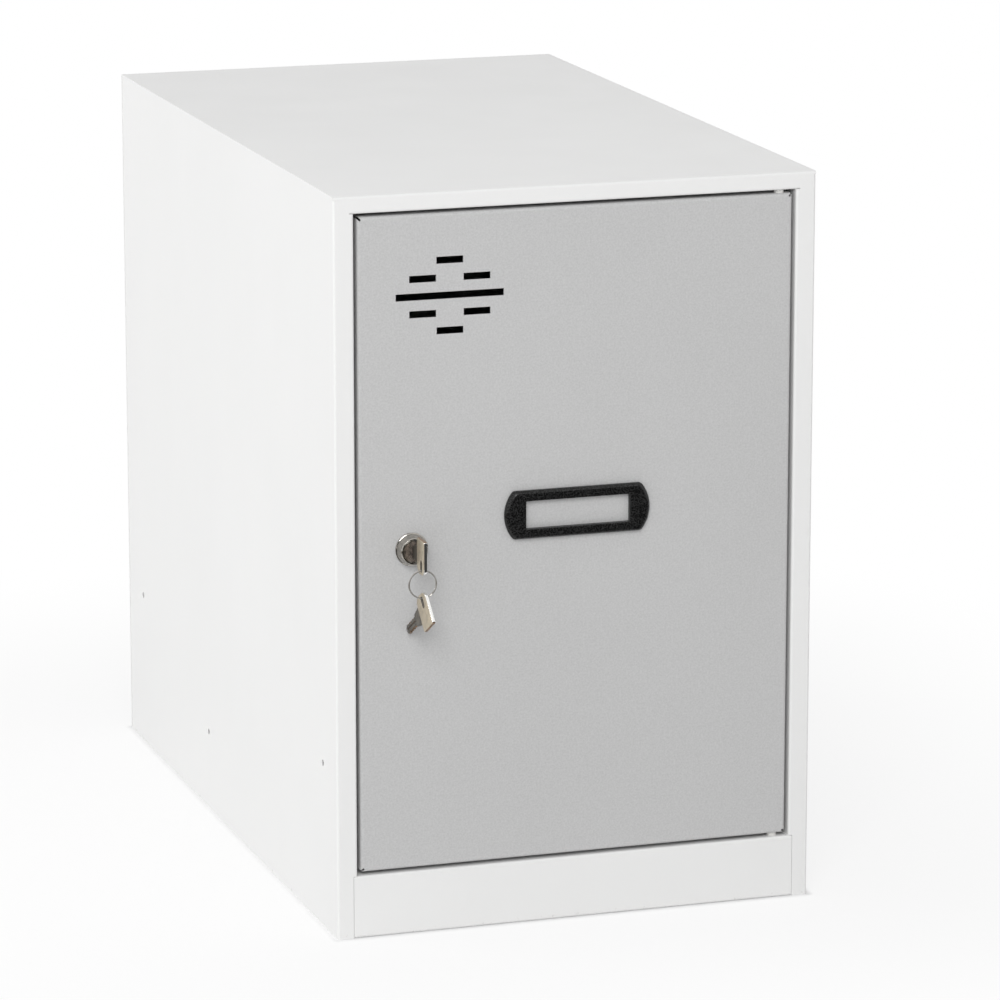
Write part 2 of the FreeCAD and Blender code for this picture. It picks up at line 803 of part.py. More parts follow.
# The turning plug: collar, keyway, wafer slots, square tail and screw hole.
def lock_plug():
    body = new_body("lock_plug", "lock_x", z="lock_height")
    profile = [
        ("plug_front", "0"),
        ("barrel_end", "0"),
        ("barrel_end", "plug_radius"),
        ("collar_back", "plug_radius"),
        ("collar_back", "collar_radius"),
        ("plug_front", "collar_radius"),
    ]
    revolve(body, "plug_turned", Drawing(body, "plug_profile", "YZ").outline(profile), "H_Axis")
    tail = Drawing(body, "tail_plan", "XZ", "barrel_end")
    tail.rectangle("-tail_half", "-tail_half", "tail_half", "tail_half")
    pad(body, "plug_tail", tail, "washer_thick + cam_thick")
    keyway = Drawing(body, "keyway_plan", "XZ", "plug_front")
    keyway.rectangle("-keyway_half", "-keyway_half_tall", "keyway_half", "keyway_half_tall")
    pocket(body, "keyway", keyway, "keyway_depth")
    slots = Drawing(body, "wafer_slot_plan", "YZ", "wafer_half_width + wafer_play")
    for index in range(WAFERS):
        start = wafer_place(index)
        end = f"{start} + wafer_thick + wafer_play"
        slots.rectangle(f"{start} - wafer_play", "-collar_radius", end, "collar_radius")
    width = "wafer_half_width + wafer_half_width + wafer_play + wafer_play"
    pocket(body, "wafer_slots", slots, width, forward=False)
    bore = Drawing(body, "screw_bore_plan", "XZ", "cam_back").circle("0", "0", "screw_bore")
    pocket(body, "screw_bore", bore, "screw_length + screw_play", forward=False)


def wafer_place(index):
    return "plug_front + wafer_start" + " + wafer_pitch" * index


# Wafers in the plug, each with a window that the blade passes through.
def lock_wafers():
    wafers = []
    for index in range(WAFERS):
        plate = wafer_box(f"wafer_plate_{index + 1}", index, "wafer_half_width", "wafer_half_height")
        window = wafer_box(f"wafer_window_{index + 1}", index, "keyway_half", "keyway_half_tall")
        wafer = doc.addObject("Part::Cut", f"wafer_{index + 1}")
        wafer.Base = plate
        wafer.Tool = window
        wafers.append(wafer)
    group("lock_wafers", wafers, "lock_x", z="lock_height")


def wafer_box(name, index, half_width, half_height):
    box = doc.addObject("Part::Box", name)
    box.setExpression("Length", f"2 * Sizes.{half_width}")
    box.setExpression("Width", bound("wafer_thick"))
    box.setExpression("Height", f"2 * Sizes.{half_height}")
    box.setExpression("Placement.Base.x", f"-Sizes.{half_width}")
    box.setExpression("Placement.Base.y", bound(wafer_place(index)))
    box.setExpression("Placement.Base.z", f"-Sizes.{half_height}")
    return box


def square_hole(drawing):
    return drawing.rectangle("-tail_hole", "-tail_hole", "tail_hole", "tail_hole")


def cam_stop_washer():
    body = new_body("cam_stop_washer", "lock_x", z="lock_height")
    plan = square_hole(Drawing(body, "washer_plan", "XZ", "barrel_end").circle("0", "0", "washer_radius"))
    pad(body, "washer_disc", plan, "washer_thick")


# The cam hangs down while the door is free, and swings behind the stop lip to lock it.
def lock_cam():
    body = new_body("lock_cam", "lock_x", z="lock_height")
    plan = Drawing(body, "cam_plan", "XZ", "washer_back")
    square_hole(plan.rectangle("-cam_half_width", "-cam_reach", "cam_half_width", "cam_head"))
    pad(body, "cam_blade", plan, "cam_thick")
    corners = [(x, z) for x in ("-cam_half_width", "cam_half_width") for z in ("-cam_reach", "cam_head")]
    fold(body, "cam_corners", "cam_corner", "Y", corners)


def cam_screw():
    body = new_body("cam_screw", "lock_x", z="lock_height")
    profile = [
        ("screw_tip", "0"),
        ("cam_back + screw_head", "0"),
        ("cam_back + screw_head", "screw_head_radius"),
        ("cam_back", "screw_head_radius"),
        ("cam_back", "screw_radius"),
        ("screw_tip", "screw_radius"),
    ]
    revolve(body, "screw_turned", Drawing(body, "screw_profile", "YZ").outline(profile), "H_Axis")


# A flat key: y runs from the bow to the tip of the blade, and z up to the plain end of the bow.
def key(label):
    body = new_body(label)
    bow = Drawing(body, label + "_bow_plan", "YZ", "-bow_half_thick")
    bow.rectangle("-bow_edge", "bow_bottom", "-shoulder_length", "bow_above")
    pad(body, label + "_bow", bow, "bow_thick")
    low = [("-bow_edge", "bow_bottom"), ("-shoulder_length", "bow_bottom")]
    high = [("-bow_edge", "bow_above"), ("-shoulder_length", "bow_above")]
    fold(body, label + "_round_end", "bow_round", "X", low)
    fold(body, label + "_plain_end", "bow_corner", "X", high)
    hole = Drawing(body, label + "_hole_plan", "YZ", "-bow_half_thick")
    near, away = "hole_y - hole_half", "hole_y + hole_half"
    hole.outline(
        [
            (near, "hole_low", "hole_y", "hole_low"),
            (away, "hole_low"),
            (away, "hole_high", "hole_y", "hole_high"),
            (near, "hole_high"),
        ]
    )
    pocket(body, label + "_hole", hole, "bow_thick")
    blade = Drawing(body, label + "_blade_plan", "YZ", "-blade_half_thick").outline(blade_outline())
    pad(body, label + "_blade", blade, "blade_thick")
    for side, name in ((-1, "left"), (1, "right")):
        groove = Drawing(body, f"{label}_{name}_groove_plan", "YZ", across(side, "groove_floor"))
        groove.rectangle("0", "-groove_half", "blade_length", "groove_half")
        pocket(body, f"{label}_{name}_groove", groove, "groove_depth", forward=side > 0)
    return body


# Shoulder, blade edge with its notches, tip, and the same edge back.
def blade_outline():
    lower = [
        ("-shoulder_length", "-shoulder_root_half"),
        ("0", "-shoulder_half"),
        ("0", "-blade_half"),
    ]
    upper = [(y, z[1:]) for y, z in reversed(lower)]
    for index in range(NOTCHES):
        middle = "wafer_start" + " + wafer_pitch" * index
        lower.append((f"{middle} - notch_half", "-blade_half"))
        lower.append((middle, "-blade_half + notch_depth"))
        lower.append((f"{middle} + notch_half", "-blade_half"))
    lower.append(("blade_length - blade_tip", "-blade_half"))
    lower.append(("blade_length", "-blade_tip_half"))
    lower.append(("blade_length", "blade_tip_half"))
    lower.append(("blade_length - blade_tip", "blade_half"))
    return lower + upper


def key_ring():
    ring = doc.addObject("Part::Torus", "key_ring")
    ring.Label = "key_ring"
    ring.setExpression("Radius1", bound("ring_radius"))
    ring.setExpression("Radius2", bound("wire_radius"))
    ring.Placement.Rotation = FreeCAD.Rotation(FreeCAD.Vector(1, 0, 0), 90)
    place(ring, "lock_x", "ring_y", "ring_z")
    parts.append(ring)


# The spare key hangs from the bottom of the ring, turned aside, with its weight under the wire.
def hang_spare(spare):
    weight = spare.Shape.Solids[0].CenterOfMass
    inward = weight.y - size("hole_y")
    down = weight.z - size("hang_z")
    tilt = math.degrees(math.atan2(inward, down))
    flip = FreeCAD.Rotation(FreeCAD.Vector(0, 1, 0), 180)
    tilted = FreeCAD.Rotation(FreeCAD.Vector(1, 0, 0), -tilt).multiply(flip)
    turn = FreeCAD.Rotation(FreeCAD.Vector(0, 0, 1), SPARE_TURN).multiply(tilted)
    arm = turn.multVec(FreeCAD.Vector(0, size("hole_y"), size("hang_z")))
    spare.Placement.Rotation = turn
    place(spare, f"lock_x - {arm.x:.6f}", f"ring_y - {arm.y:.6f}", f"ring_low - {arm.z:.6f}")
    print("spare key hangs at", round(tilt, 2), "degrees")


def check_document():
    doc.recompute()
    for item in doc.Objects:
        if "Invalid" in item.State or "Error" in item.State:
            raise RuntimeError(f"{item.Label} failed: {item.State}")
    for part in parts:
        if part.Shape.isNull() or not part.Shape.isValid() or not part.Shape.Solids:
            raise RuntimeError(f"{part.Label} has no valid solid")


def build():
    front_cell = fill_sheet()
    side_panel("left_side_panel", -1, lip=True)
    side_panel("right_side_panel", 1, lip=False)
    top_panel()
    back_panel()
    floor_panel()
    front_plinth()
    hinge_pin("top_hinge_pin", 1, "rail_bottom + sheet", "door_top - pin_reach")
    hinge_pin("bottom_hinge_pin", -1, "floor_top", "door_bottom + pin_reach")
    door_buffers()
    door_panel()
    hinge_bush("top_hinge_bush", "door_top", "rail_bottom - bush_play", "door_top - bush_length")
    hinge_bush("bottom_hinge_bush", "door_bottom", "plinth_height", "door_bottom + bush_length")
    label_holder()
    lock_housing()
    lock_nut()
    lock_plug()
    lock_wafers()
    cam_stop_washer()
    lock_cam()
    cam_screw()
    place(key("key_in_lock"), "lock_x", "key_y", "lock_height")
    key_ring()
    spare = key("spare_key")
    doc.recompute()
    hang_spare(spare)
    doc.recompute()
    # the origin lies under the middle of the whole depth, keys included
    reach = -min(part.Shape.BoundBox.YMin for part in parts)
    sheet.set(front_cell, str(round((reach - size("cabinet_depth")) / 2, 3)))
    check_document()


build()
os.makedirs("parts", exist_ok=True)
for part in parts:
    part.Shape.exportStep(f"parts/{part.Label}.step")
    box = part.Shape.BoundBox
    corners = (box.XMin, box.YMin, box.ZMin, box.XMax, box.YMax, box.ZMax)
    print(part.Label, len(part.Shape.Solids), [round(value, 2) for value in corners])
for name in ("front_y", "pivot_x", "pivot_y", "lock_x", "ring_y", "ring_top", "ring_low"):
    print(name, size(name))
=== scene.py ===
import json
import math
import bmesh
import bpy
from mathutils import Matrix, Vector


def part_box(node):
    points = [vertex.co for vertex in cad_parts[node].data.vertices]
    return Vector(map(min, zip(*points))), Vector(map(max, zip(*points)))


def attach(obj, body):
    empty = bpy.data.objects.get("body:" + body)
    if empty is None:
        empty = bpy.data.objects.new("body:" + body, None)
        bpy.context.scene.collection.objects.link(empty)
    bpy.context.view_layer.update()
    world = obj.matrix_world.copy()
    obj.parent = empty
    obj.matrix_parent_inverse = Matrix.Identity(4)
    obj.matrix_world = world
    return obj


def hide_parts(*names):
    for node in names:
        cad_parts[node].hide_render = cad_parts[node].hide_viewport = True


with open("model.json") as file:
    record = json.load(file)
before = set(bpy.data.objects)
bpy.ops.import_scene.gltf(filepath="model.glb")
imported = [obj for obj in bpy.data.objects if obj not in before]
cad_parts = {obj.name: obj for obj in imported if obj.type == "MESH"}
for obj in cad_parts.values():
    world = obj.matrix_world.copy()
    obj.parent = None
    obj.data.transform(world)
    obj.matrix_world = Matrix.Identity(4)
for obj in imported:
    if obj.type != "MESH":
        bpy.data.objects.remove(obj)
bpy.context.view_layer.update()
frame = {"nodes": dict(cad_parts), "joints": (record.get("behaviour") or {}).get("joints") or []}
nodes = frame["nodes"]
joints = {joint["name"]: joint for joint in frame["joints"]}
scene = bpy.context.scene
scene.view_settings.view_transform = "Standard"
mm = 0.001
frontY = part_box("left_side_panel")[0].y  # front plane of the carcass
lockAxis = Vector(joints["lock_turn"]["pos_m"])
print("frame:", len(nodes), "nodes, front at", round(frontY, 4))


class Wire:  # one output socket, so that sums on it read as plain Python
    def __init__(self, graph, socket):
        self.graph = graph
        self.socket = socket

    def __add__(self, other):
        return self.graph.sum("ADD", self, other)

    def __sub__(self, other):
        return self.graph.sum("SUBTRACT", self, other)

    def __mul__(self, other):
        return self.graph.sum("MULTIPLY", self, other)

    def __pow__(self, other):
        return self.graph.sum("POWER", self, other)

    def __radd__(self, other):
        return self.graph.sum("ADD", other, self)

    def __rsub__(self, other):
        return self.graph.sum("SUBTRACT", other, self)

    def __rmul__(self, other):
        return self.graph.sum("MULTIPLY", other, self)


class Graph:  # a node tree that is filled by code
    def __init__(self, tree):
        self.tree = tree
        tree.nodes.clear()

    def add(self, kind, settings=None, values=None, out=0):
        node = self.tree.nodes.new(kind)
        for key, value in (settings or {}).items():
            setattr(node, key, value)
        for key, value in (values or {}).items():
            if isinstance(value, Wire):
                self.tree.links.new(value.socket, node.inputs[key])
            else:
                node.inputs[key].default_value = value
        return Wire(self, node.outputs[out]) if node.outputs else None

    def sum(self, operation, first, second):
        return self.add("ShaderNodeMath", {"operation": operation}, {0: first, 1: second})

    def larger(self, first, second):
        return self.sum("MAXIMUM", first, second)

    def fade(self, value, low, high):  # 0 at low, 1 at high, smooth between
        places = {"Value": value, "From Min": low, "From Max": high}
        return self.add("ShaderNodeMapRange", {"interpolation_type": "SMOOTHSTEP"}, places)

    def mix(self, factor, first, second):
        colours = {0: factor, 6: asColour(first), 7: asColour(second)}
        return self.add("ShaderNodeMix", {"data_type": "RGBA"}, colours, out=2)

    def tint(self, colour, tone):
        return self.add("ShaderNodeVectorMath", {"operation": "SCALE"}, {0: colour, "Scale": tone})

    def where(self):
        return self.add("ShaderNodeTexCoord", out=3)  # Object coordinates, the part's own frame in metres

    def shifted(self, centre):
        return self.add("ShaderNodeVectorMath", {"operation": "SUBTRACT"}, {0: self.where(), 1: centre})

    def stretched(self, shares):  # a share below 1 draws the pattern out along that axis
        return self.add("ShaderNodeVectorMath", {"operation": "MULTIPLY"}, {0: self.where(), 1: shares})

    def split(self, vector):
        node = self.add("ShaderNodeSeparateXYZ", values={0: vector}).socket.node
        return [Wire(self, socket) for socket in node.outputs]

    def noise(self, vector, grain, detail, rough=0.5):  # grain is the size of one patch in metres
        look = {"Vector": vector, "Scale": 1 / grain, "Detail": detail, "Roughness": rough}
        return self.add("ShaderNodeTexNoise", {"noise_dimensions": "3D"}, look)

    def bump(self, height, depth):
        return self.add("ShaderNodeBump", values={"Strength": 1.0, "Distance": depth, "Height": height})

    def surface(self, values):
        shader = self.add("ShaderNodeBsdfPrincipled", values=values)
        self.add("ShaderNodeOutputMaterial", values={"Surface": shader})


def asColour(value):
    return value if isinstance(value, Wire) else (*value, 1)


def newFinish(name):
    material = bpy.data.materials.new(name)
    material.use_nodes = True
    return material, Graph(material.node_tree)


# powder coat on sheet steel: orange peel, fine grain, faint clouds, scuffs low down
whiteCoat = {
    "colour": (0.79, 0.79, 0.785),
    "scuff": (0.42, 0.41, 0.39),
    "scuffTop": 4.0 * mm,
    "roughness": 0.36,
    "peel": 1.7 * mm,
    "peelDepth": 0.022 * mm,
    "grain": 0.42 * mm,
    "grainTone": 0.03,
    "cloudTone": 0.018,
}
greyCoat = {
    "colour": (0.51, 0.51, 0.51),
    "scuff": (0.60, 0.60, 0.59),
    "scuffTop": 43.5 * mm,
    "roughness": 0.42,
    "peel": 1.4 * mm,
    "peelDepth": 0.03 * mm,
    "grain": 1.1 * mm,
    "grainTone": 0.15,
    "cloudTone": 0.03,
}
coatMarks = {
    "gloss": 0.45,
    "cloudSize": 160.0 * mm,
    "smearSize": 45.0 * mm,
    "smearStretch": (1, 1, 0.35),  # long streaks up and down
    "smearRough": 0.16,
    "chipSize": 3.5 * mm,
    "chipBand": (0.60, 0.70),
    "chipShow": 0.7,
    "chipRough": 0.2,
    "scuffFade": 3.5 * mm,
    "grainRelief": 0.25,
}


def powderCoat(name, look):
    marks = coatMarks
    material, graph = newFinish(name)
    where = graph.where()
    height = graph.split(where)[2]
    grain = graph.noise(where, look["grain"], detail=1.0)
    clouds = graph.noise(where, marks["cloudSize"], detail=2.0)
    peel = graph.noise(where, look["peel"], detail=1.5, rough=0.4)
    smear = graph.noise(graph.stretched(marks["smearStretch"]), marks["smearSize"], detail=3.0)
    tone = 1 + (grain - 0.5) * (2 * look["grainTone"]) + (clouds - 0.5) * (2 * look["cloudTone"])
    paint = graph.tint(look["colour"], tone)
    low = graph.fade(height, look["scuffTop"], look["scuffTop"] - marks["scuffFade"])
    chips = graph.fade(graph.noise(where, marks["chipSize"], detail=4.0, rough=0.65), *marks["chipBand"])
    scuffs = low * chips
    colour = graph.mix(scuffs * marks["chipShow"], paint, look["scuff"])
    rough = look["roughness"] + (smear - 0.5) * marks["smearRough"] + scuffs * marks["chipRough"]
    relief = peel + grain * marks["grainRelief"]
    graph.surface(
        {
            "Base Color": colour,
            "Roughness": rough,
            "Specular IOR Level": marks["gloss"],
            "Normal": graph.bump(relief, look["peelDepth"]),
        }
    )
    return material


# plated and bare metals, turned about the lock's axis
chromeLook = {
    "colour": (0.47, 0.445, 0.405),
    "shade": (0.36, 0.345, 0.32),
    "metal": 1.0,
    "roughness": 0.07,
    "lines": 0.10 * mm,
}
plugLook = {
    "colour": (0.34, 0.285, 0.245),
    "shade": (0.12, 0.105, 0.095),
    "metal": 0.7,
    "roughness": 0.26,
    "lines": 0.16 * mm,
}
zincLook = {
    "colour": (0.60, 0.61, 0.63),
    "shade": (0.58, 0.55, 0.44),
    "metal": 1.0,
    "roughness": 0.34,
    "lines": 0.22 * mm,
}
brassLook = {
    "colour": (0.72, 0.53, 0.25),
    "shade": (0.50, 0.34, 0.15),
    "metal": 1.0,
    "roughness": 0.32,
    "lines": 0.20 * mm,
}
turnedMarks = {
    "lineRough": 0.10,
    "cloudSize": 2.2 * mm,
    "cloudBand": (0.35, 0.68),
    "scratchSize": 0.5 * mm,
    "scratchBand": (0.62, 0.72),
    "scratchRough": 0.12,
    "scratchRelief": 0.3,
    "depth": 0.004 * mm,
}


def turnedMetal(name, look):  # fine rings about the lock's axis, with cloudy plating
    marks = turnedMarks
    material, graph = newFinish(name)
    spot = graph.shifted(lockAxis)
    x, y, z = graph.split(spot)
    radius = (x * x + z * z) ** 0.5
    lathed = graph.add("ShaderNodeCombineXYZ", values={0: radius, 1: y})
    rings = graph.noise(lathed, look["lines"], detail=1.0)
    clouds = graph.noise(spot, marks["cloudSize"], detail=3.0, rough=0.6)
    scratches = graph.fade(graph.noise(spot, marks["scratchSize"], detail=2.0), *marks["scratchBand"])
    colour = graph.mix(graph.fade(clouds, *marks["cloudBand"]), look["colour"], look["shade"])
    rough = look["roughness"] + (rings - 0.5) * marks["lineRough"] + scratches * marks["scratchRough"]
    graph.surface(
        {
            "Base Color": colour,
            "Metallic": look["metal"],
            "Roughness": rough,
            "Normal": graph.bump(rings + scratches * marks["scratchRelief"], marks["depth"]),
        }
    )
    return material


# metals that are handled
keyLook = {
    "colour": (0.57, 0.50, 0.385),
    "shade": (0.44, 0.385, 0.295),
    "wear": (0.62, 0.49, 0.33),
    "metal": 0.5,
    "roughness": 0.34,
}
keyRimLook = {
    "colour": (0.90, 0.90, 0.88),
    "shade": (0.78, 0.77, 0.74),
    "wear": (0.95, 0.94, 0.92),
    "metal": 1.0,
    "roughness": 0.10,
}
# painted shade: the blade, its shoulder and the walls of the bow's hole get a darker colour than the bow,
# standing for their shade and dark reflections
keyBladeShadeLook = {
    "colour": (0.17, 0.16, 0.14),
    "shade": (0.11, 0.10, 0.09),
    "wear": (0.36, 0.27, 0.18),
    "metal": 0.6,
    "roughness": 0.34,
}
keyCutLook = {
    "colour": (0.32, 0.20, 0.12),
    "shade": (0.17, 0.12, 0.08),
    "wear": (0.50, 0.37, 0.24),
    "metal": 0.6,
    "roughness": 0.30,
}
ringLook = {
    "colour": (0.42, 0.41, 0.39),
    "shade": (0.28, 0.26, 0.23),
    "wear": (0.75, 0.74, 0.72),
    "metal": 0.5,
    "roughness": 0.14,
}
handledMarks = {
    "cloudSize": 3.0 * mm,
    "cloudBand": (0.42, 0.72),
    "cloudRough": 0.10,
    "brushSize": 0.25 * mm,
    "brushStretch": (1, 0.12, 1),  # from front to back
    "brushRough": 0.12,
    "scratchSize": 0.35 * mm,
    "scratchStretch": (1, 1, 0.2),  # up and down
    "scratchBand": (0.64, 0.70),
    "scratchShow": 0.6,
    "scratchRelief": 0.4,
    "depth": 0.006 * mm,
}


def handledMetal(name, look):  # rubbed plating, dull in patches, brushed and scratched
    marks = handledMarks
    material, graph = newFinish(name)
    clouds = graph.noise(graph.where(), marks["cloudSize"], detail=4.0, rough=0.62)
    brushed = graph.noise(graph.stretched(marks["brushStretch"]), marks["brushSize"], detail=2.0)
    hairs = graph.noise(graph.stretched(marks["scratchStretch"]), marks["scratchSize"], detail=1.0)
    scratches = graph.fade(hairs, *marks["scratchBand"])
    dull = graph.mix(graph.fade(clouds, *marks["cloudBand"]), look["colour"], look["shade"])
    colour = graph.mix(scratches * marks["scratchShow"], dull, look["wear"])
    rough = look["roughness"] + (brushed - 0.5) * marks["brushRough"] + (clouds - 0.5) * marks["cloudRough"]
    graph.surface(
        {
            "Base Color": colour,
            "Metallic": look["metal"],
            "Roughness": rough,
            "Normal": graph.bump(brushed + scratches * marks["scratchRelief"], marks["depth"]),
        }
    )
    return material


# moulded plastics and rubber
blackLook = {
    "colour": (0.003, 0.003, 0.003),
    "shade": (0.025, 0.025, 0.025),
    "patches": (0.42, 0.64),
    "roughness": 0.20,
    "gloss": 0.28,
    "grain": 0.8 * mm,
    "depth": 0.05 * mm,
}
nylonLook = {
    "colour": (0.76, 0.755, 0.74),
    "shade": (0.66, 0.65, 0.62),
    "patches": (0.3, 0.8),
    "roughness": 0.46,
    "gloss": 0.5,
    "grain": 0.8 * mm,
    "depth": 0.01 * mm,
}
rubberLook = {
    "colour": (0.028, 0.028, 0.029),
    "shade": (0.055, 0.054, 0.052),
    "patches": (0.3, 0.8),
    "roughness": 0.82,
    "gloss": 0.3,
    "grain": 0.35 * mm,
    "depth": 0.02 * mm,
}
mouldMarks = {
    "cellShare": 0.6,
    "fineShare": 0.35,
    "cloudShare": 0.15,
    "cloudSize": 9.0 * mm,
    "cloudRough": 0.14,
    "fineRough": 0.06,
    "fineRelief": 0.3,
}


def moulded(name, look):  # pebbled skin whose colour follows the pebbles
    marks = mouldMarks
    material, graph = newFinish(name)
    where = graph.where()
    cells = graph.add(
        "ShaderNodeTexVoronoi", {"feature": "SMOOTH_F1"}, {"Vector": where, "Scale": 1 / look["grain"]}
    )
    fine = graph.noise(where, look["grain"] / 2, detail=2.0)
    clouds = graph.noise(where, marks["cloudSize"], detail=3.0)
    pebbles = cells * marks["cellShare"] + fine * marks["fineShare"] + clouds * marks["cloudShare"]
    colour = graph.mix(graph.fade(pebbles, *look["patches"]), look["colour"], look["shade"])
    rough = look["roughness"] + (clouds - 0.5) * marks["cloudRough"] + (fine - 0.5) * marks["fineRough"]
    graph.surface(
        {
            "Base Color": colour,
            "Roughness": rough,
            "Specular IOR Level": look["gloss"],
            "Normal": graph.bump(cells + fine * marks["fineRelief"], look["depth"]),
        }
    )
    return material


finishes = {
    "carcassWhite": powderCoat("carcassWhite", whiteCoat),
    "doorGrey": powderCoat("doorGrey", greyCoat),
    "lockChrome": turnedMetal("lockChrome", chromeLook),
    "plugBronze": turnedMetal("plugBronze", plugLook),
    "zincSteel": turnedMetal("zincSteel", zincLook),
    "waferBrass": turnedMetal("waferBrass", brassLook),
    "keyNickel": handledMetal("keyNickel", keyLook),
    "keyRim": handledMetal("keyRim", keyRimLook),
    "keyBladePaintedShade": handledMetal("keyBladePaintedShade", keyBladeShadeLook),
    "keyCut": handledMetal("keyCut", keyCutLook),
    "ringSteel": handledMetal("ringSteel", ringLook),
    "labelBlack": moulded("labelBlack", blackLook),
    "bushNylon": moulded("bushNylon", nylonLook),
    "bufferRubber": moulded("bufferRubber", rubberLook),
}
print("finishes:", len(finishes))

nodeFinish = {
    "left_side_panel": "carcassWhite",
    "right_side_panel": "carcassWhite",
    "top_panel": "carcassWhite",
    "back_panel": "carcassWhite",
    "floor_panel": "carcassWhite",
    "front_plinth": "carcassWhite",
    "top_hinge_pin": "zincSteel",
    "bottom_hinge_pin": "zincSteel",
    "door_buffers": "bufferRubber",
    "door_panel": "doorGrey",
    "top_hinge_bush": "bushNylon",
    "bottom_hinge_bush": "bushNylon",
    "lock_plug": "plugBronze",
    "lock_wafers": "waferBrass",
    "cam_stop_washer": "zincSteel",
    "lock_cam": "zincSteel",
}
for node, finish in nodeFinish.items():
    nodes[node].data.materials.clear()
    nodes[node].data.materials.append(finishes[finish])
print("carried nodes:", len(nodeFinish))


# mesh helpers
def newObject(name, data):
    piece = bpy.data.objects.new(name, data)
    scene.collection.objects.link(piece)
    return piece


def plainMesh(holder):  # the evaluated shape as a plain mesh, with the holder thrown away
    graph = bpy.context.evaluated_depsgraph_get()
    mesh = bpy.data.meshes.new_from_object(holder.evaluated_get(graph), depsgraph=graph)
    bpy.data.objects.remove(holder)
    return mesh


def addPiece(name, mesh, body, finishNames, replaced=(), smooth=40):
    mesh.name = name
    if len(mesh.materials):  # clearing an empty list would undo the finish of each face
        mesh.materials.clear()
    for finish in finishNames:
        mesh.materials.append(finishes[finish])
    for polygon in mesh.polygons:
        polygon.use_smooth = True
    mesh.set_sharp_from_angle(angle=math.radians(smooth))
    piece = newObject(name, mesh)
    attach(piece, body)
    if replaced:
        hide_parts(*replaced)


straightOn = math.radians(89)  # half the angle of a corner that is too open to round


def rounded(corners, steps):  # closed outline from (x, y, radius) corners
    points = []
    for i, (x, y, radius) in enumerate(corners):
        here = Vector((x, y))
        back = (Vector(corners[i - 1][:2]) - here).normalized()
        ahead = (Vector(corners[(i + 1) % len(corners)][:2]) - here).normalized()
        half = back.angle(ahead) / 2
        if radius <= 0 or half > straightOn:
            points.append(here)
            continue
        reach = radius / math.tan(half)
        centre = here + (back + ahead).normalized() * (radius / math.sin(half))
        first = here + back * reach - centre
        last = here + ahead * reach - centre
        turn = math.atan2(first.x * last.y - first.y * last.x, first.dot(last))
        for k in range(steps + 1):
            points.append(centre + Matrix.Rotation(turn * k / steps, 2) @ first)
    return points


def plate(outlines, thickness, bevel, steps=2):  # flat, with soft edges; later outlines are holes
    curve = bpy.data.curves.new("plateOutline", "CURVE")
    curve.dimensions = "2D"
    curve.fill_mode = "BOTH"
    curve.extrude = thickness / 2 - bevel
    curve.bevel_depth = bevel
    curve.bevel_resolution = steps
    curve.offset = -bevel
    for outline in outlines:
        spline = curve.splines.new("POLY")
        spline.points.add(len(outline) - 1)
        for point, place in zip(spline.points, outline):
            point.co = (place[0], place[1], 0, 1)
        spline.use_cyclic_u = True
    mesh = plainMesh(newObject("plateOutline", curve))
    bpy.data.curves.remove(curve)
    return cleaned(mesh)


mergeGap = 0.002 * mm  # points nearer than this become one


def cleaned(mesh):
    work = bmesh.new()
    work.from_mesh(mesh)
    bmesh.ops.remove_doubles(work, verts=work.verts, dist=mergeGap)
    bmesh.ops.dissolve_degenerate(work, edges=work.edges, dist=mergeGap / 4)
    bmesh.ops.recalc_face_normals(work, faces=work.faces)
    work.to_mesh(mesh)
    work.free()
    return mesh


def gridMesh(name, rows):  # faces between rows of points, closed both ways
    work = bmesh.new()
    grid = [[work.verts.new(point) for point in row] for row in rows]
    for i, row in enumerate(grid):
        after = grid[(i + 1) % len(grid)]
        for k in range(len(row)):
            m = (k + 1) % len(row)
            work.faces.new((row[k], row[m], after[m], after[k]))
    bmesh.ops.recalc_face_normals(work, faces=work.faces)
    mesh = bpy.data.meshes.new(name)
    work.to_mesh(mesh)
    work.free()
    return mesh


def aboutLock(x, y, z):  # a place given from the lock's axis and the front plane
    return Vector((lockAxis.x + x, frontY + y, lockAxis.z + z))


def lathe(name, profile, steps=96, limit=None):  # profile of (radius, y) about the lock's axis
    rows = []
    for i in range(steps):
        angle = 2 * math.pi * i / steps
        row = []
        for radius, y in profile:
            x, z = radius * math.cos(angle), radius * math.sin(angle)
            if limit:
                x = limit(x, y)
            row.append(aboutLock(x, y, z))
        rows.append(row)
    return cleaned(gridMesh(name, rows))


cutPast = 1.0 * mm  # how far a cutting block reaches past the piece


def carved(mesh, tools):  # the mesh with closed tool meshes cut out of it
    base = newObject("carving", mesh)
    cutters = [newObject("cutter", tool) for tool in tools]
    for cutter in cutters:
        modifier = base.modifiers.new("cut", "BOOLEAN")
        modifier.operation = "DIFFERENCE"
        modifier.solver = "EXACT"
        modifier.object = cutter
    result = plainMesh(base)
    for cutter in cutters:
        bpy.data.objects.remove(cutter)
    return cleaned(result)


def blockMesh(low, high):
    work = bmesh.new()
    bmesh.ops.create_cube(work, size=1)
    span = [b - a for a, b in zip(low, high)]
    middle = [(a + b) / 2 for a, b in zip(low, high)]
    work.transform(Matrix.LocRotScale(Vector(middle), None, Vector(span)))
    mesh = bpy.data.meshes.new("block")
    work.to_mesh(mesh)
    work.free()
    return mesh


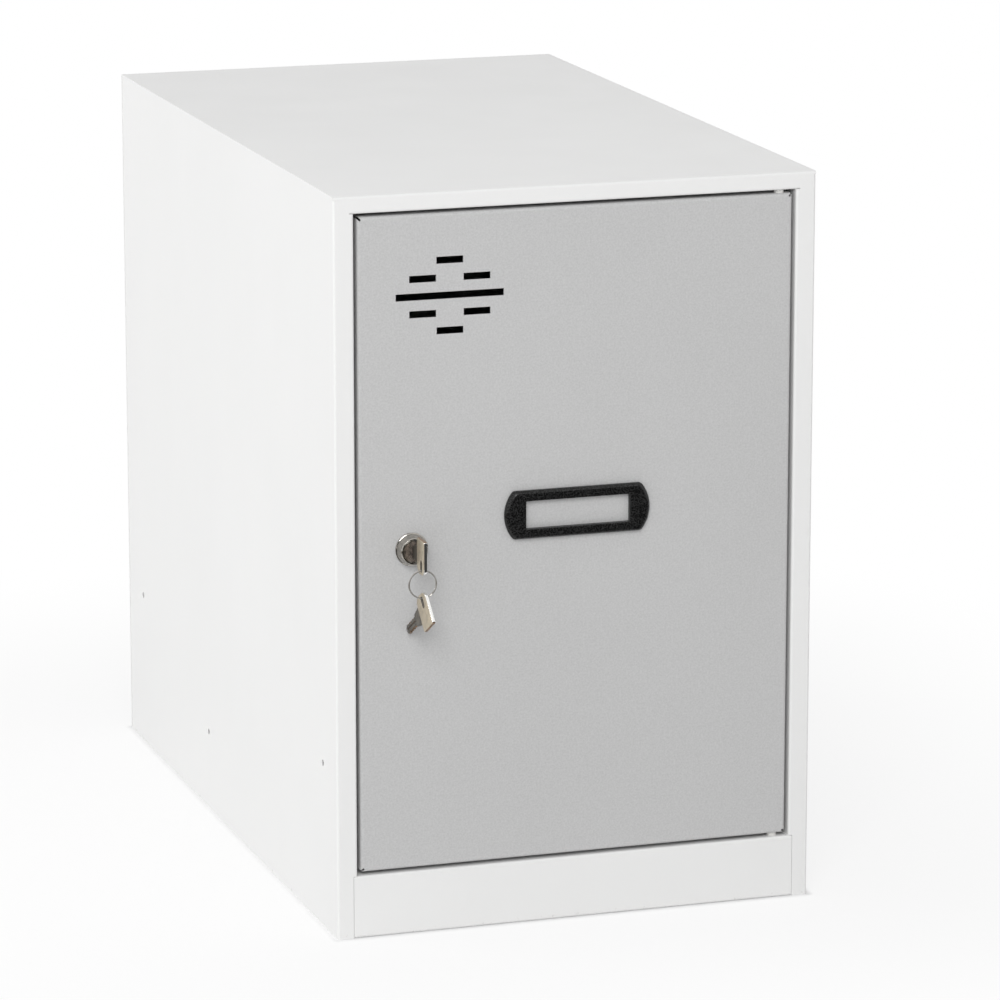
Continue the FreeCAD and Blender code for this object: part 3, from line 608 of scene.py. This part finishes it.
# geometry node helpers
def newTree(name, inputs, geometry=False):
    tree = bpy.data.node_groups.new(name, "GeometryNodeTree")
    kinds = {float: "NodeSocketFloat", int: "NodeSocketInt"}
    if geometry:
        tree.interface.new_socket("Geometry", in_out="INPUT", socket_type="NodeSocketGeometry")
    for label, value in inputs.items():
        tree.interface.new_socket(label, in_out="INPUT", socket_type=kinds[type(value)])
    tree.interface.new_socket("Geometry", in_out="OUTPUT", socket_type="NodeSocketGeometry")
    graph = Graph(tree)
    start = graph.add("NodeGroupInput").socket.node
    given = {socket.name: Wire(graph, socket) for socket in start.outputs if socket.name}
    return tree, graph, given


def endTree(graph, shape, finish):
    real = graph.add("GeometryNodeRealizeInstances", values={0: shape})
    painted = graph.add("GeometryNodeSetMaterial", values={"Geometry": real, "Material": finishes[finish]})
    graph.add("NodeGroupOutput", values={0: painted})


def grown(name, tree, inputs, seedMesh=None):  # runs a tree once and keeps the plain mesh
    holder = newObject(name, seedMesh or bpy.data.meshes.new(name))
    modifier = holder.modifiers.new(name, "NODES")
    modifier.node_group = tree
    for item in tree.interface.items_tree:
        if item.in_out == "INPUT" and item.name in inputs:
            modifier[item.identifier] = inputs[item.name]
    return plainMesh(holder)


twistRun = 0.02  # share of a coil's length in which its twist comes on


def coilTree(name, inputs, finish):  # a flat wire wound along a spiral, with a twist in its last part
    tree, graph, given = newTree(name, inputs)
    coil = graph.add(
        "GeometryNodeCurveSpiral",
        values={
            "Resolution": given["Steps"],
            "Rotations": given["Turns"],
            "Start Radius": given["Radius"],
            "End Radius": given["Radius"],
            "Height": given["Height"],
        },
    )
    along = graph.add("GeometryNodeSplineParameter")
    twist = graph.fade(along, given["Twist From"], given["Twist From"] + twistRun) * given["Twist"]
    path = graph.add("GeometryNodeSetCurveTilt", values={"Curve": coil, "Tilt": twist})
    strip = graph.add(
        "GeometryNodeCurvePrimitiveQuadrilateral", values={"Width": given["Wide"], "Height": given["Thick"]}
    )
    wire = graph.add("GeometryNodeFilletCurve", values={"Curve": strip, "Radius": given["Soft"]})
    swept = graph.add(
        "GeometryNodeCurveToMesh", values={"Curve": path, "Profile Curve": wire, "Fill Caps": True}
    )
    endTree(graph, swept, finish)
    return tree


# split key ring: flat wire wound nearly twice
ringSizes = {
    "Radius": 8.3 * mm,
    "Turns": 1.87,
    "Height": 0.84 * mm,
    "Wide": 0.92 * mm,
    "Thick": 0.42 * mm,
    "Soft": 0.19 * mm,
    "Steps": 72,
    "Twist": math.radians(17),
    "Twist From": 0.91,
}
ringEnd = -72.0  # where the front end lies, degrees round from the right


def splitRing():
    low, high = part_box("key_ring")
    mesh = grown("splitRing", coilTree("ringCoil", ringSizes, "ringSteel"), ringSizes)
    start = math.radians(ringEnd + 360 * ringSizes["Turns"])  # the coil runs clockwise
    turn = Matrix.Rotation(math.radians(90), 4, "X") @ Matrix.Rotation(start, 4, "Z")
    lift = Matrix.Translation((0, 0, -ringSizes["Height"] / 2))
    mesh.transform(Matrix.Translation((low + high) / 2) @ turn @ lift)
    addPiece("splitRing", cleaned(mesh), "ring", ["ringSteel"], ["key_ring"])


# the two keys: x runs to the tip of the blade, y up to the plain end of the bow
keySizes = {
    "bowLeft": -21.8,
    "bowRight": -7.3,
    "bowLow": -10.6,
    "bowHigh": 10.6,
    "bowRound": 5.0,
    "bowCorner": 1.2,
    "bowThick": 2.0,
    "holeX": -15.55,
    "holeLow": -8.8,
    "holeHigh": -1.8,
    "holeWide": 3.0,
    "soft": 0.36,
    "bladeThick": 1.8,
    "bladeHalf": 2.75,
    "bladeLong": 15.0,
    "bladeSoft": 0.14,
    "tipLong": 1.6,
    "tipHalf": 1.2,
    "shoulderHalf": 3.8,
    "shoulderRoot": 5.5,
    "rootLap": 1.5,
    "cutTop": 0.95,
    "cutFloor": 0.25,
    "grooveDeep": 0.5,
    "grooveHalf": 0.55,
    "grooveStart": 0.3,
    # place along the blade, lower depth, upper depth
    "cuts": [(2.6, 0.9, 0.5), (5.2, 0.5, 1.0), (7.8, 1.1, 0.7), (10.4, 0.7, 1.1)],
}


def bladePoints():
    k = keySizes
    lower = [(k["bowRight"] - k["rootLap"], -k["shoulderRoot"]), (k["bowRight"], -k["shoulderRoot"])]
    lower += [(0, -k["shoulderHalf"]), (0, -k["bladeHalf"])]
    upper = [(x, -y) for x, y in lower]
    for place, down, up in k["cuts"]:
        for outline, depth, sign in ((lower, down, -1), (upper, up, 1)):
            edge = sign * k["bladeHalf"]
            floor = edge - sign * depth
            outline += [(place - k["cutTop"], edge), (place - k["cutFloor"], floor)]
            outline += [(place + k["cutFloor"], floor), (place + k["cutTop"], edge)]
    lower += [(k["bladeLong"] - k["tipLong"], -k["bladeHalf"]), (k["bladeLong"], -k["tipHalf"])]
    upper += [(k["bladeLong"] - k["tipLong"], k["bladeHalf"]), (k["bladeLong"], k["tipHalf"])]
    return [(x * mm, y * mm) for x, y in lower + upper[::-1]]


def fourCorners(left, right, low, high, lowRound, highRound):  # takes millimetres and gives metres
    lower = [(left, low, lowRound), (right, low, lowRound)]
    upper = [(right, high, highRound), (left, high, highRound)]
    return [tuple(value * mm for value in corner) for corner in lower + upper]


def bowMesh():
    k = keySizes
    bow = fourCorners(k["bowLeft"], k["bowRight"], k["bowLow"], k["bowHigh"], k["bowRound"], k["bowCorner"])
    half = k["holeWide"] / 2
    arc = half * 0.999  # a hair under half the width, so that the arcs' ends stay apart
    slot = fourCorners(k["holeX"] - half, k["holeX"] + half, k["holeLow"], k["holeHigh"], arc, arc)
    return plate([rounded(bow, steps=8), rounded(slot, steps=7)], k["bowThick"] * mm, k["soft"] * mm)


def bladeMesh():  # the blade and its shoulder, with a groove along both faces
    k = keySizes
    blade = plate([bladePoints()], k["bladeThick"] * mm, k["bladeSoft"] * mm, steps=1)
    depth = k["grooveDeep"] * mm
    wide = k["grooveHalf"] * mm
    skin = k["bladeThick"] / 2 * mm
    start = k["grooveStart"] * mm
    end = k["bladeLong"] * mm + cutPast
    tools = []
    for low, high in ((skin - depth, skin + cutPast), (-skin - cutPast, -skin + depth)):
        tools.append(blockMesh((start, -wide, low), (end, wide, high)))
    return carved(blade, tools)


keyFinishes = ["keyNickel", "keyRim", "keyBladePaintedShade", "keyCut"]
# limits on a face's normal, and how far past the hole its walls are looked for, in millimetres
keySplit = {"flat": 0.8, "end": 0.6, "cut": 0.5, "wallPast": 0.5}


def bowFinish(face):  # bright rim round the bow, its plain end cut bare, and painted shade on the walls in the hole
    k = keySizes
    x, y = face.calc_center_median().xy / mm
    beside = abs(x - k["holeX"]) < k["holeWide"] / 2 + k["soft"]
    within = k["holeLow"] - keySplit["wallPast"] < y < k["holeHigh"] + keySplit["wallPast"]
    if abs(face.normal.z) >= keySplit["flat"]:
        return keyFinishes.index("keyNickel")
    if beside and within:
        return keyFinishes.index("keyBladePaintedShade")
    return keyFinishes.index("keyCut" if face.normal.y > keySplit["end"] else "keyRim")


def bladeFinish(face):  # brown in the cuts, painted shade on the faces and the shoulder
    cut = abs(face.normal.z) < keySplit["cut"] and face.calc_center_median().x > 0
    return keyFinishes.index("keyCut" if cut else "keyBladePaintedShade")


def keyMesh(name):
    work = bmesh.new()
    work.from_mesh(bowMesh())
    for face in work.faces:
        face.material_index = bowFinish(face)
    bowFaces = set(work.faces)
    work.from_mesh(bladeMesh())
    for face in work.faces:
        if face not in bowFaces:
            face.material_index = bladeFinish(face)
    mesh = bpy.data.meshes.new(name)
    work.to_mesh(mesh)
    work.free()
    standing = Matrix(((0, 0, 1, 0), (1, 0, 0, 0), (0, 1, 0, 0), (0, 0, 0, 1)))  # blade to the back
    mesh.transform(standing)
    return mesh


spareHang = {"tilt": 35.68, "turn": 8.1}  # degrees round from upright, and degrees turned aside


def keys():
    low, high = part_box("key_in_lock")
    seat = Vector(((low.x + high.x) / 2, high.y - keySizes["bladeLong"] * mm, lockAxis.z))
    mesh = keyMesh("keyInLock")
    mesh.transform(Matrix.Translation(seat))
    addPiece("keyInLock", mesh, "inserted_key", keyFinishes, ["key_in_lock"], smooth=30)
    hang = Vector(joints["ring_swing"]["pos_m"]) - seat  # where the wire lies in the key's hole
    mesh = keyMesh("spareKey")
    flip = Matrix.Rotation(math.radians(180), 4, "Y")
    tilt = Matrix.Rotation(math.radians(-spareHang["tilt"]), 4, "X") @ flip
    turn = Matrix.Rotation(math.radians(spareHang["turn"]), 4, "Z") @ tilt
    pivot = Matrix.Translation(Vector(joints["spare_swing"]["pos_m"]))
    mesh.transform(pivot @ turn @ Matrix.Translation(-hang))
    addPiece("spareKey", mesh, "hanging_key", keyFinishes, ["spare_key"], smooth=30)


# lock: bezel and barrel, thread, face ring, nut and cam screw, with depths counted from the front plane
lockSizes = {
    "bezelFront": -6.4,
    "collarBack": -3.8,
    "doorFace": 0.6,
    "barrelEnd": 22.1,
    "bezel": 10.0,
    "bezelRim": 1.2,
    "bezelStep": 9.45,
    "bezelFace": 8.1,
    "collar": 7.25,
    "plugBore": 6.45,
    "barrel": 8.6,
    "flat": 7.8,
    "threadDeep": 0.35,
    "rimSlope": 0.25,
    "stepBack": 0.9,
    "stepIn": 0.1,
    "faceOut": 0.15,
    "faceIn": 0.35,
    "faceEdge": 0.6,
}


def withinFlats(x):  # the barrel and its thread are cut away to a flat on either side
    flat = lockSizes["flat"] * mm
    return max(-flat, min(flat, x))


def lockBezel():
    s = lockSizes
    rimFront = s["doorFace"] - s["bezelRim"]
    root = s["barrel"] - s["threadDeep"]
    corners = [  # radius, depth behind the front plane, rounding
        (s["collar"], s["bezelFront"], 0.3),
        (s["collar"], s["collarBack"], 0.0),
        (s["plugBore"], s["collarBack"], 0.0),
        (s["plugBore"], s["barrelEnd"], 0.2),
        (root, s["barrelEnd"], 0.3),
        (root, s["doorFace"], 0.0),
        (s["bezel"], s["doorFace"], 0.15),
        (s["bezel"], rimFront, 0.3),
        (s["bezelStep"], rimFront - s["rimSlope"], 0.12),
        (s["bezelStep"] - s["stepIn"], rimFront - s["stepBack"], 0.2),
        (s["bezelFace"] + s["faceOut"], s["bezelFront"] + s["faceEdge"], 1.2),
        (s["bezelFace"] - s["faceIn"], s["bezelFront"], 0.35),
    ]
    profile = [(point.x * mm, point.y * mm) for point in rounded(corners, steps=4)]

    def flatted(x, y):
        return withinFlats(x) if y > s["doorFace"] * mm else x

    mesh = lathe("lockBezel", profile, steps=120, limit=flatted)
    addPiece("lockBezel", mesh, "door", ["lockChrome"], ["lock_housing"], smooth=32)


threadSizes = {
    "Radius": 8.35 * mm,
    "Turns": 19.0,
    "Height": 19.0 * mm,
    "Wide": 0.55 * mm,
    "Thick": 0.55 * mm,
    "Soft": 0.08 * mm,
    "Steps": 40,
    "Twist": 0.0,
    "Twist From": 0.9,
}
threadFront = 2.0 * mm  # where the thread starts behind the front plane


def barrelThread():
    mesh = grown("barrelThread", coilTree("threadCoil", threadSizes, "lockChrome"), threadSizes)
    start = Matrix.Translation(aboutLock(0, threadFront, 0))
    mesh.transform(start @ Matrix.Rotation(math.radians(-90), 4, "X"))
    for vertex in mesh.vertices:
        vertex.co.x = lockAxis.x + withinFlats(vertex.co.x - lockAxis.x)
    addPiece("barrelThread", mesh, "door", ["lockChrome"], smooth=35)


faceRingSizes = {"inner": 6.4, "outer": 7.08, "proud": 0.28, "sunk": 0.1, "soft": 0.12}


def plugFaceRing():
    s = faceRingSizes
    face = (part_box("lock_plug")[0].y - frontY) / mm
    corners = [
        (s["inner"], face + s["sunk"], 0.0),
        (s["inner"], face - s["proud"], s["soft"]),
        (s["outer"], face - s["proud"], s["soft"]),
        (s["outer"], face + s["sunk"], 0.0),
    ]
    mesh = lathe("plugFaceRing", [(point.x * mm, point.y * mm) for point in rounded(corners, steps=3)])
    addPiece("plugFaceRing", mesh, "lock_core", ["lockChrome"], smooth=32)


nutSizes = {
    "corner": 12.7,
    "crown": 0.985,  # share of the radius over the flats that its faces keep level
    "slope": 28.0,
    "bore": 8.8,
    "front": 1.4,
    "back": 5.4,
    "chamfer": 0.5,
    "steps": 96,
}


def lockNut():
    s = nutSizes
    flatHalf = s["corner"] * math.cos(math.radians(30))
    crown = flatHalf * s["crown"]
    rows = []
    for i in range(s["steps"]):
        angle = 2 * math.pi * i / s["steps"]
        side = (angle % math.radians(60)) - math.radians(30)
        hexagon = flatHalf / math.cos(side)
        drop = (hexagon - crown) * math.tan(math.radians(s["slope"]))
        ring = [
            (s["bore"], s["front"] + s["chamfer"]),
            (s["bore"] + s["chamfer"], s["front"]),
            (crown, s["front"]),
            (hexagon, s["front"] + drop),
            (hexagon, s["back"] - drop),
            (crown, s["back"]),
            (s["bore"] + s["chamfer"], s["back"]),
            (s["bore"], s["back"] - s["chamfer"]),
        ]
        row = []
        for radius, y in ring:
            x, z = radius * math.cos(angle) * mm, radius * math.sin(angle) * mm
            row.append(aboutLock(x, y * mm, z))
        rows.append(row)
    mesh = gridMesh("lockNut", rows)
    addPiece("lockNut", mesh, "door", ["zincSteel"], ["lock_nut"], smooth=20)


screwSizes = {
    "head": 4.5,
    "tall": 2.4,
    "edge": 0.7,
    "dome": (0.0, 0.35, 0.7, 1.0, 1.25),  # angles up the head's dome, radians
    "shank": 2.0,
    "lead": 0.4,
    "leadLong": 0.5,
    "pole": 0.02,
    "crossLong": 2.3,
    "crossWide": 0.45,
    "crossDeep": 1.3,
}


def camScrew():
    s = screwSizes
    near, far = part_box("cam_screw")
    back = (far.y - frontY) / mm
    seat = back - s["tall"]
    tip = (near.y - frontY) / mm
    profile = [(s["pole"], tip), (s["shank"] - s["lead"], tip), (s["shank"], tip + s["leadLong"])]
    profile += [(s["shank"], seat), (s["head"], seat)]
    for t in s["dome"]:
        profile.append((s["head"] * math.cos(t), seat + s["edge"] + (s["tall"] - s["edge"]) * math.sin(t)))
    profile.append((s["pole"], back))
    mesh = lathe("camScrew", [(r * mm, y * mm) for r, y in profile], steps=64)
    tools = []
    for wide, tall in ((s["crossLong"], s["crossWide"]), (s["crossWide"], s["crossLong"])):
        low = aboutLock(-wide * mm, (back - s["crossDeep"]) * mm, -tall * mm)
        high = aboutLock(wide * mm, back * mm + cutPast, tall * mm)
        tools.append(blockMesh(low, high))
    mesh = carved(mesh, tools)
    addPiece("camScrew", mesh, "lock_core", ["zincSteel"], ["cam_screw"], smooth=30)


# label frame: rounded bar section carried round the window, with bulging ends
labelSizes = {
    "centreZ": 253.0,
    "halfFlat": 40.0,
    "halfLong": 45.5,
    "halfTall": 14.65,
    "corner": 3.0,
    "windowHalf": 32.65,
    "windowTall": 8.5,
    "back": 0.6,
    "thick": 4.0,
    "bevel": 2.4,
    "innerSoft": 0.8,
    "innerSteps": 3,
    "endSteps": 20,
    # shares of the bevel, inward and up
    "bevelCurve": [(0.0, 0.10), (0.06, 0.22), (0.30, 0.52), (0.62, 0.82), (0.86, 0.97), (1.12, 1.0)],
}


def labelStations():  # matching points on the outer outline and round the window
    s = labelSizes
    bulge = s["halfLong"] - s["halfFlat"]
    radius = (s["halfTall"] ** 2 + bulge ** 2) / (2 * bulge)
    sweep = math.asin(s["halfTall"] / radius)
    corners = []
    for side in (1, -1):
        for k in range(s["endSteps"] + 1):
            angle = -sweep + 2 * sweep * k / s["endSteps"]
            x, y = s["halfLong"] - radius + radius * math.cos(angle), radius * math.sin(angle)
            corners.append((x * side, y * side, s["corner"] if k in (0, s["endSteps"]) else 0))
    stations = []
    for outer in rounded(corners, steps=6):
        along = max(-1, min(1, outer.x / s["halfFlat"]))
        up = max(-1, min(1, outer.y / s["halfTall"]))
        stations.append((outer, Vector((s["windowHalf"] * along, s["windowTall"] * up))))
    return stations


def labelFrame():
    s = labelSizes
    front = s["back"] - s["thick"]
    bevel = s["bevel"]
    rows = []
    for outer, inner in labelStations():
        inward = (inner - outer).normalized()
        section = [(inner, s["back"])]
        for k in range(s["innerSteps"] + 1):
            t = math.radians(90 * k / s["innerSteps"])
            slide = s["innerSoft"] * (1 - math.cos(t))
            rise = s["innerSoft"] * math.sin(t)
            section.append((inner - inward * slide, front + s["innerSoft"] - rise))
        for slide, rise in reversed(s["bevelCurve"]):
            section.append((outer + inward * (slide * bevel), front + bevel * (1 - rise)))
        section.append((outer, s["back"]))
        rows.append([(p.x * mm, frontY + y * mm, (s["centreZ"] + p.y) * mm) for p, y in section])
    mesh = cleaned(gridMesh("labelFrame", rows))
    addPiece("labelFrame", mesh, "door", ["labelBlack"], ["label_holder"], smooth=45)


# spot weld marks: shallow painted discs where flanges are welded on behind
weldSizes = {"Radius": 2.0 * mm, "Crown": 1.5 * mm, "Proud": 0.03 * mm, "Sides": 28}
weldPlaces = {
    "floorY": (36.0, 469.0),
    "floorZ": 24.5,
    "backX": 143.5,
    "backZ": (40.0, 130.0, 220.0, 310.0, 400.0),
}


def weldTree():
    tree, graph, given = newTree("weldMarks", weldSizes, geometry=True)
    disc = graph.add(
        "GeometryNodeMeshCone",
        {"fill_type": "NGON"},
        {
            "Vertices": given["Sides"],
            "Radius Top": given["Crown"],
            "Radius Bottom": given["Radius"],
            "Depth": given["Proud"],
        },
    )
    facing = graph.add("GeometryNodeInputNamedAttribute", {"data_type": "FLOAT_VECTOR"}, {"Name": "facing"})
    turned = graph.add("FunctionNodeAlignRotationToVector", {"axis": "Z"}, {"Vector": facing})
    placed = graph.add(
        "GeometryNodeInstanceOnPoints",
        values={"Points": given["Geometry"], "Instance": disc, "Rotation": turned},
    )
    endTree(graph, placed, "carcassWhite")
    return tree


def weldMarks():
    s = weldPlaces
    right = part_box("right_side_panel")[1].x
    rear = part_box("back_panel")[1].y
    spots = []
    for side in (-1, 1):
        for y in s["floorY"]:
            spots.append(((side * right, frontY + y * mm, s["floorZ"] * mm), (side, 0, 0)))
        for z in s["backZ"]:
            spots.append(((side * s["backX"] * mm, rear, z * mm), (0, 1, 0)))
    seeds = bpy.data.meshes.new("weldSeeds")
    seeds.from_pydata([place for place, way in spots], [], [])
    facing = seeds.attributes.new("facing", "FLOAT_VECTOR", "POINT")
    for item, (place, way) in zip(facing.data, spots):
        item.vector = way
    mesh = grown("weldMarks", weldTree(), weldSizes, seeds)
    addPiece("weldMarks", mesh, "cabinet", ["carcassWhite"], smooth=60)


makers = [splitRing, keys, lockBezel, barrelThread, plugFaceRing, lockNut, camScrew, labelFrame, weldMarks]
for make in makers:
    make()
    print("made", make.__name__)


# floor, light and camera
floorLook = {
    "size": 14.0,
    "colour": (0.86, 0.86, 0.86),
    "foot": 5.0 * mm,  # the full shadow fades over this width at the carcass's foot
    "near": 0.02,
    "far": 0.45,  # and the rest of it between near and far
    "shine": 0.80,  # share of plain white in the floor before near
}


def seenDirectly(graph):  # rays that show the background: from the camera, in gloss or through glass
    path = graph.add("ShaderNodeLightPath").socket.node
    names = ("Is Camera Ray", "Is Glossy Ray", "Is Transmission Ray")
    camera, gloss, glass = [Wire(graph, path.outputs[name]) for name in names]
    return graph.larger(graph.larger(camera, gloss), glass)


def paleFloor():
    half = floorLook["size"] / 2
    mesh = bpy.data.meshes.new("floor")
    corners = [(-half, -half, 0), (half, -half, 0), (half, half, 0), (-half, half, 0)]
    mesh.from_pydata(corners, [], [(0, 1, 2, 3)])
    floor = newObject("floor", mesh)
    material, graph = newFinish("paleFloor")
    low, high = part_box("top_panel")
    x, y = graph.split(graph.shifted((low + high) / 2))[:2]
    gapX = graph.larger(graph.larger(x, 0 - x) - (high.x - low.x) / 2, 0.0)
    gapY = graph.larger(graph.larger(y, 0 - y) - (high.y - low.y) / 2, 0.0)
    away = (gapX * gapX + gapY * gapY) ** 0.5  # how far from the carcass's foot
    far = graph.fade(away, floorLook["near"], floorLook["far"])
    white = graph.fade(away, 0.0, floorLook["foot"]) * (floorLook["shine"] + far * (1 - floorLook["shine"]))
    matt = graph.add("ShaderNodeBsdfDiffuse", values={"Color": (*floorLook["colour"], 1)})
    glow = graph.add("ShaderNodeEmission", values={"Strength": 1.0})
    mixed = graph.add("ShaderNodeMixShader", values={0: white * seenDirectly(graph), 1: matt, 2: glow})
    graph.add("ShaderNodeOutputMaterial", values={"Surface": mixed})
    mesh.materials.append(material)


worldLook = {"ambient": 0.64, "rightDim": 0.45}  # dimmer from the right, as in a room lit from the left


def paleWorld():
    world = bpy.data.worlds.new("studio")
    world.use_nodes = True
    scene.world = world
    graph = Graph(world.node_tree)
    right = graph.split(graph.add("ShaderNodeTexCoord"))[0]
    ambient = worldLook["ambient"] * (1 - graph.fade(right, 0.0, 1.0) * worldLook["rightDim"])
    seen = seenDirectly(graph)
    strength = ambient * (1 - seen) + seen
    light = graph.add("ShaderNodeBackground", values={"Color": (1, 1, 1, 1), "Strength": strength})
    graph.add("ShaderNodeOutputWorld", values={"Surface": light})


lampLook = {
    "key": {"place": (-1.0, -2.6, 1.9), "aim": (0, -0.1, 0.25), "size": 1.5, "power": 46.0},
    "side": {"place": (-2.4, 0.7, 1.1), "aim": (0, 0, 0.25), "size": 1.4, "power": 17.0},
}


def lamps():
    for name, look in lampLook.items():
        data = bpy.data.lights.new(name, "AREA")
        data.size = look["size"]
        data.energy = look["power"]
        lamp = newObject(name, data)
        lamp.location = look["place"]
        toward = Vector(look["aim"]) - Vector(look["place"])
        lamp.rotation_euler = toward.to_track_quat("-Z", "Y").to_euler()


cardLook = {
    "frontCard": {"low": (-4.0, -4.2, 0.0), "high": (4.0, -4.2, 2.6), "colour": (0.05, 0.05, 0.05)},
    "floorCard": {"low": (-2.2, -4.2, 0.004), "high": (4.0, -0.36, 0.004), "colour": (0.05, 0.05, 0.05)},
    "leftCard": {"low": (-2.4, -0.6, 0.004), "high": (-0.75, 0.45, 0.004), "colour": (0.34, 0.29, 0.24)},
}


def darkCards():  # seen in gloss alone, so that bright metal has something dark to show
    for name, look in cardLook.items():
        material, graph = newFinish(name)
        matt = graph.add("ShaderNodeBsdfDiffuse", values={"Color": (*look["colour"], 1)})
        graph.add("ShaderNodeOutputMaterial", values={"Surface": matt})
        a, b = Vector(look["low"]), Vector(look["high"])
        corners = [a, Vector((b.x, a.y, a.z)), b, Vector((a.x, b.y, b.z))]
        mesh = bpy.data.meshes.new(name)
        mesh.from_pydata(corners, [], [(0, 1, 2, 3)])
        mesh.materials.append(material)
        card = newObject(name, mesh)
        card.visible_camera = False
        card.visible_diffuse = False
        card.visible_transmission = False
        card.visible_shadow = False


cameraLook = {
    "x": -1.00811,
    "front": -2.94391,
    "z": 0.98577,
    "yaw": 18.06,
    "pitch": 13.14,
    "lens": 193.22,
    "sensor": 36.0,
    "reach": 50.0,
}


def camera():
    data = bpy.data.cameras.new("camera")
    data.sensor_width = cameraLook["sensor"]
    data.lens = cameraLook["lens"]
    data.clip_end = cameraLook["reach"]
    piece = newObject("camera", data)
    piece.location = (cameraLook["x"], frontY + cameraLook["front"], cameraLook["z"])
    piece.rotation_euler = (math.radians(90 - cameraLook["pitch"]), 0, math.radians(-cameraLook["yaw"]))
    scene.camera = piece


paleFloor()
paleWorld()
lamps()
darkCards()
camera()
print("stage set")
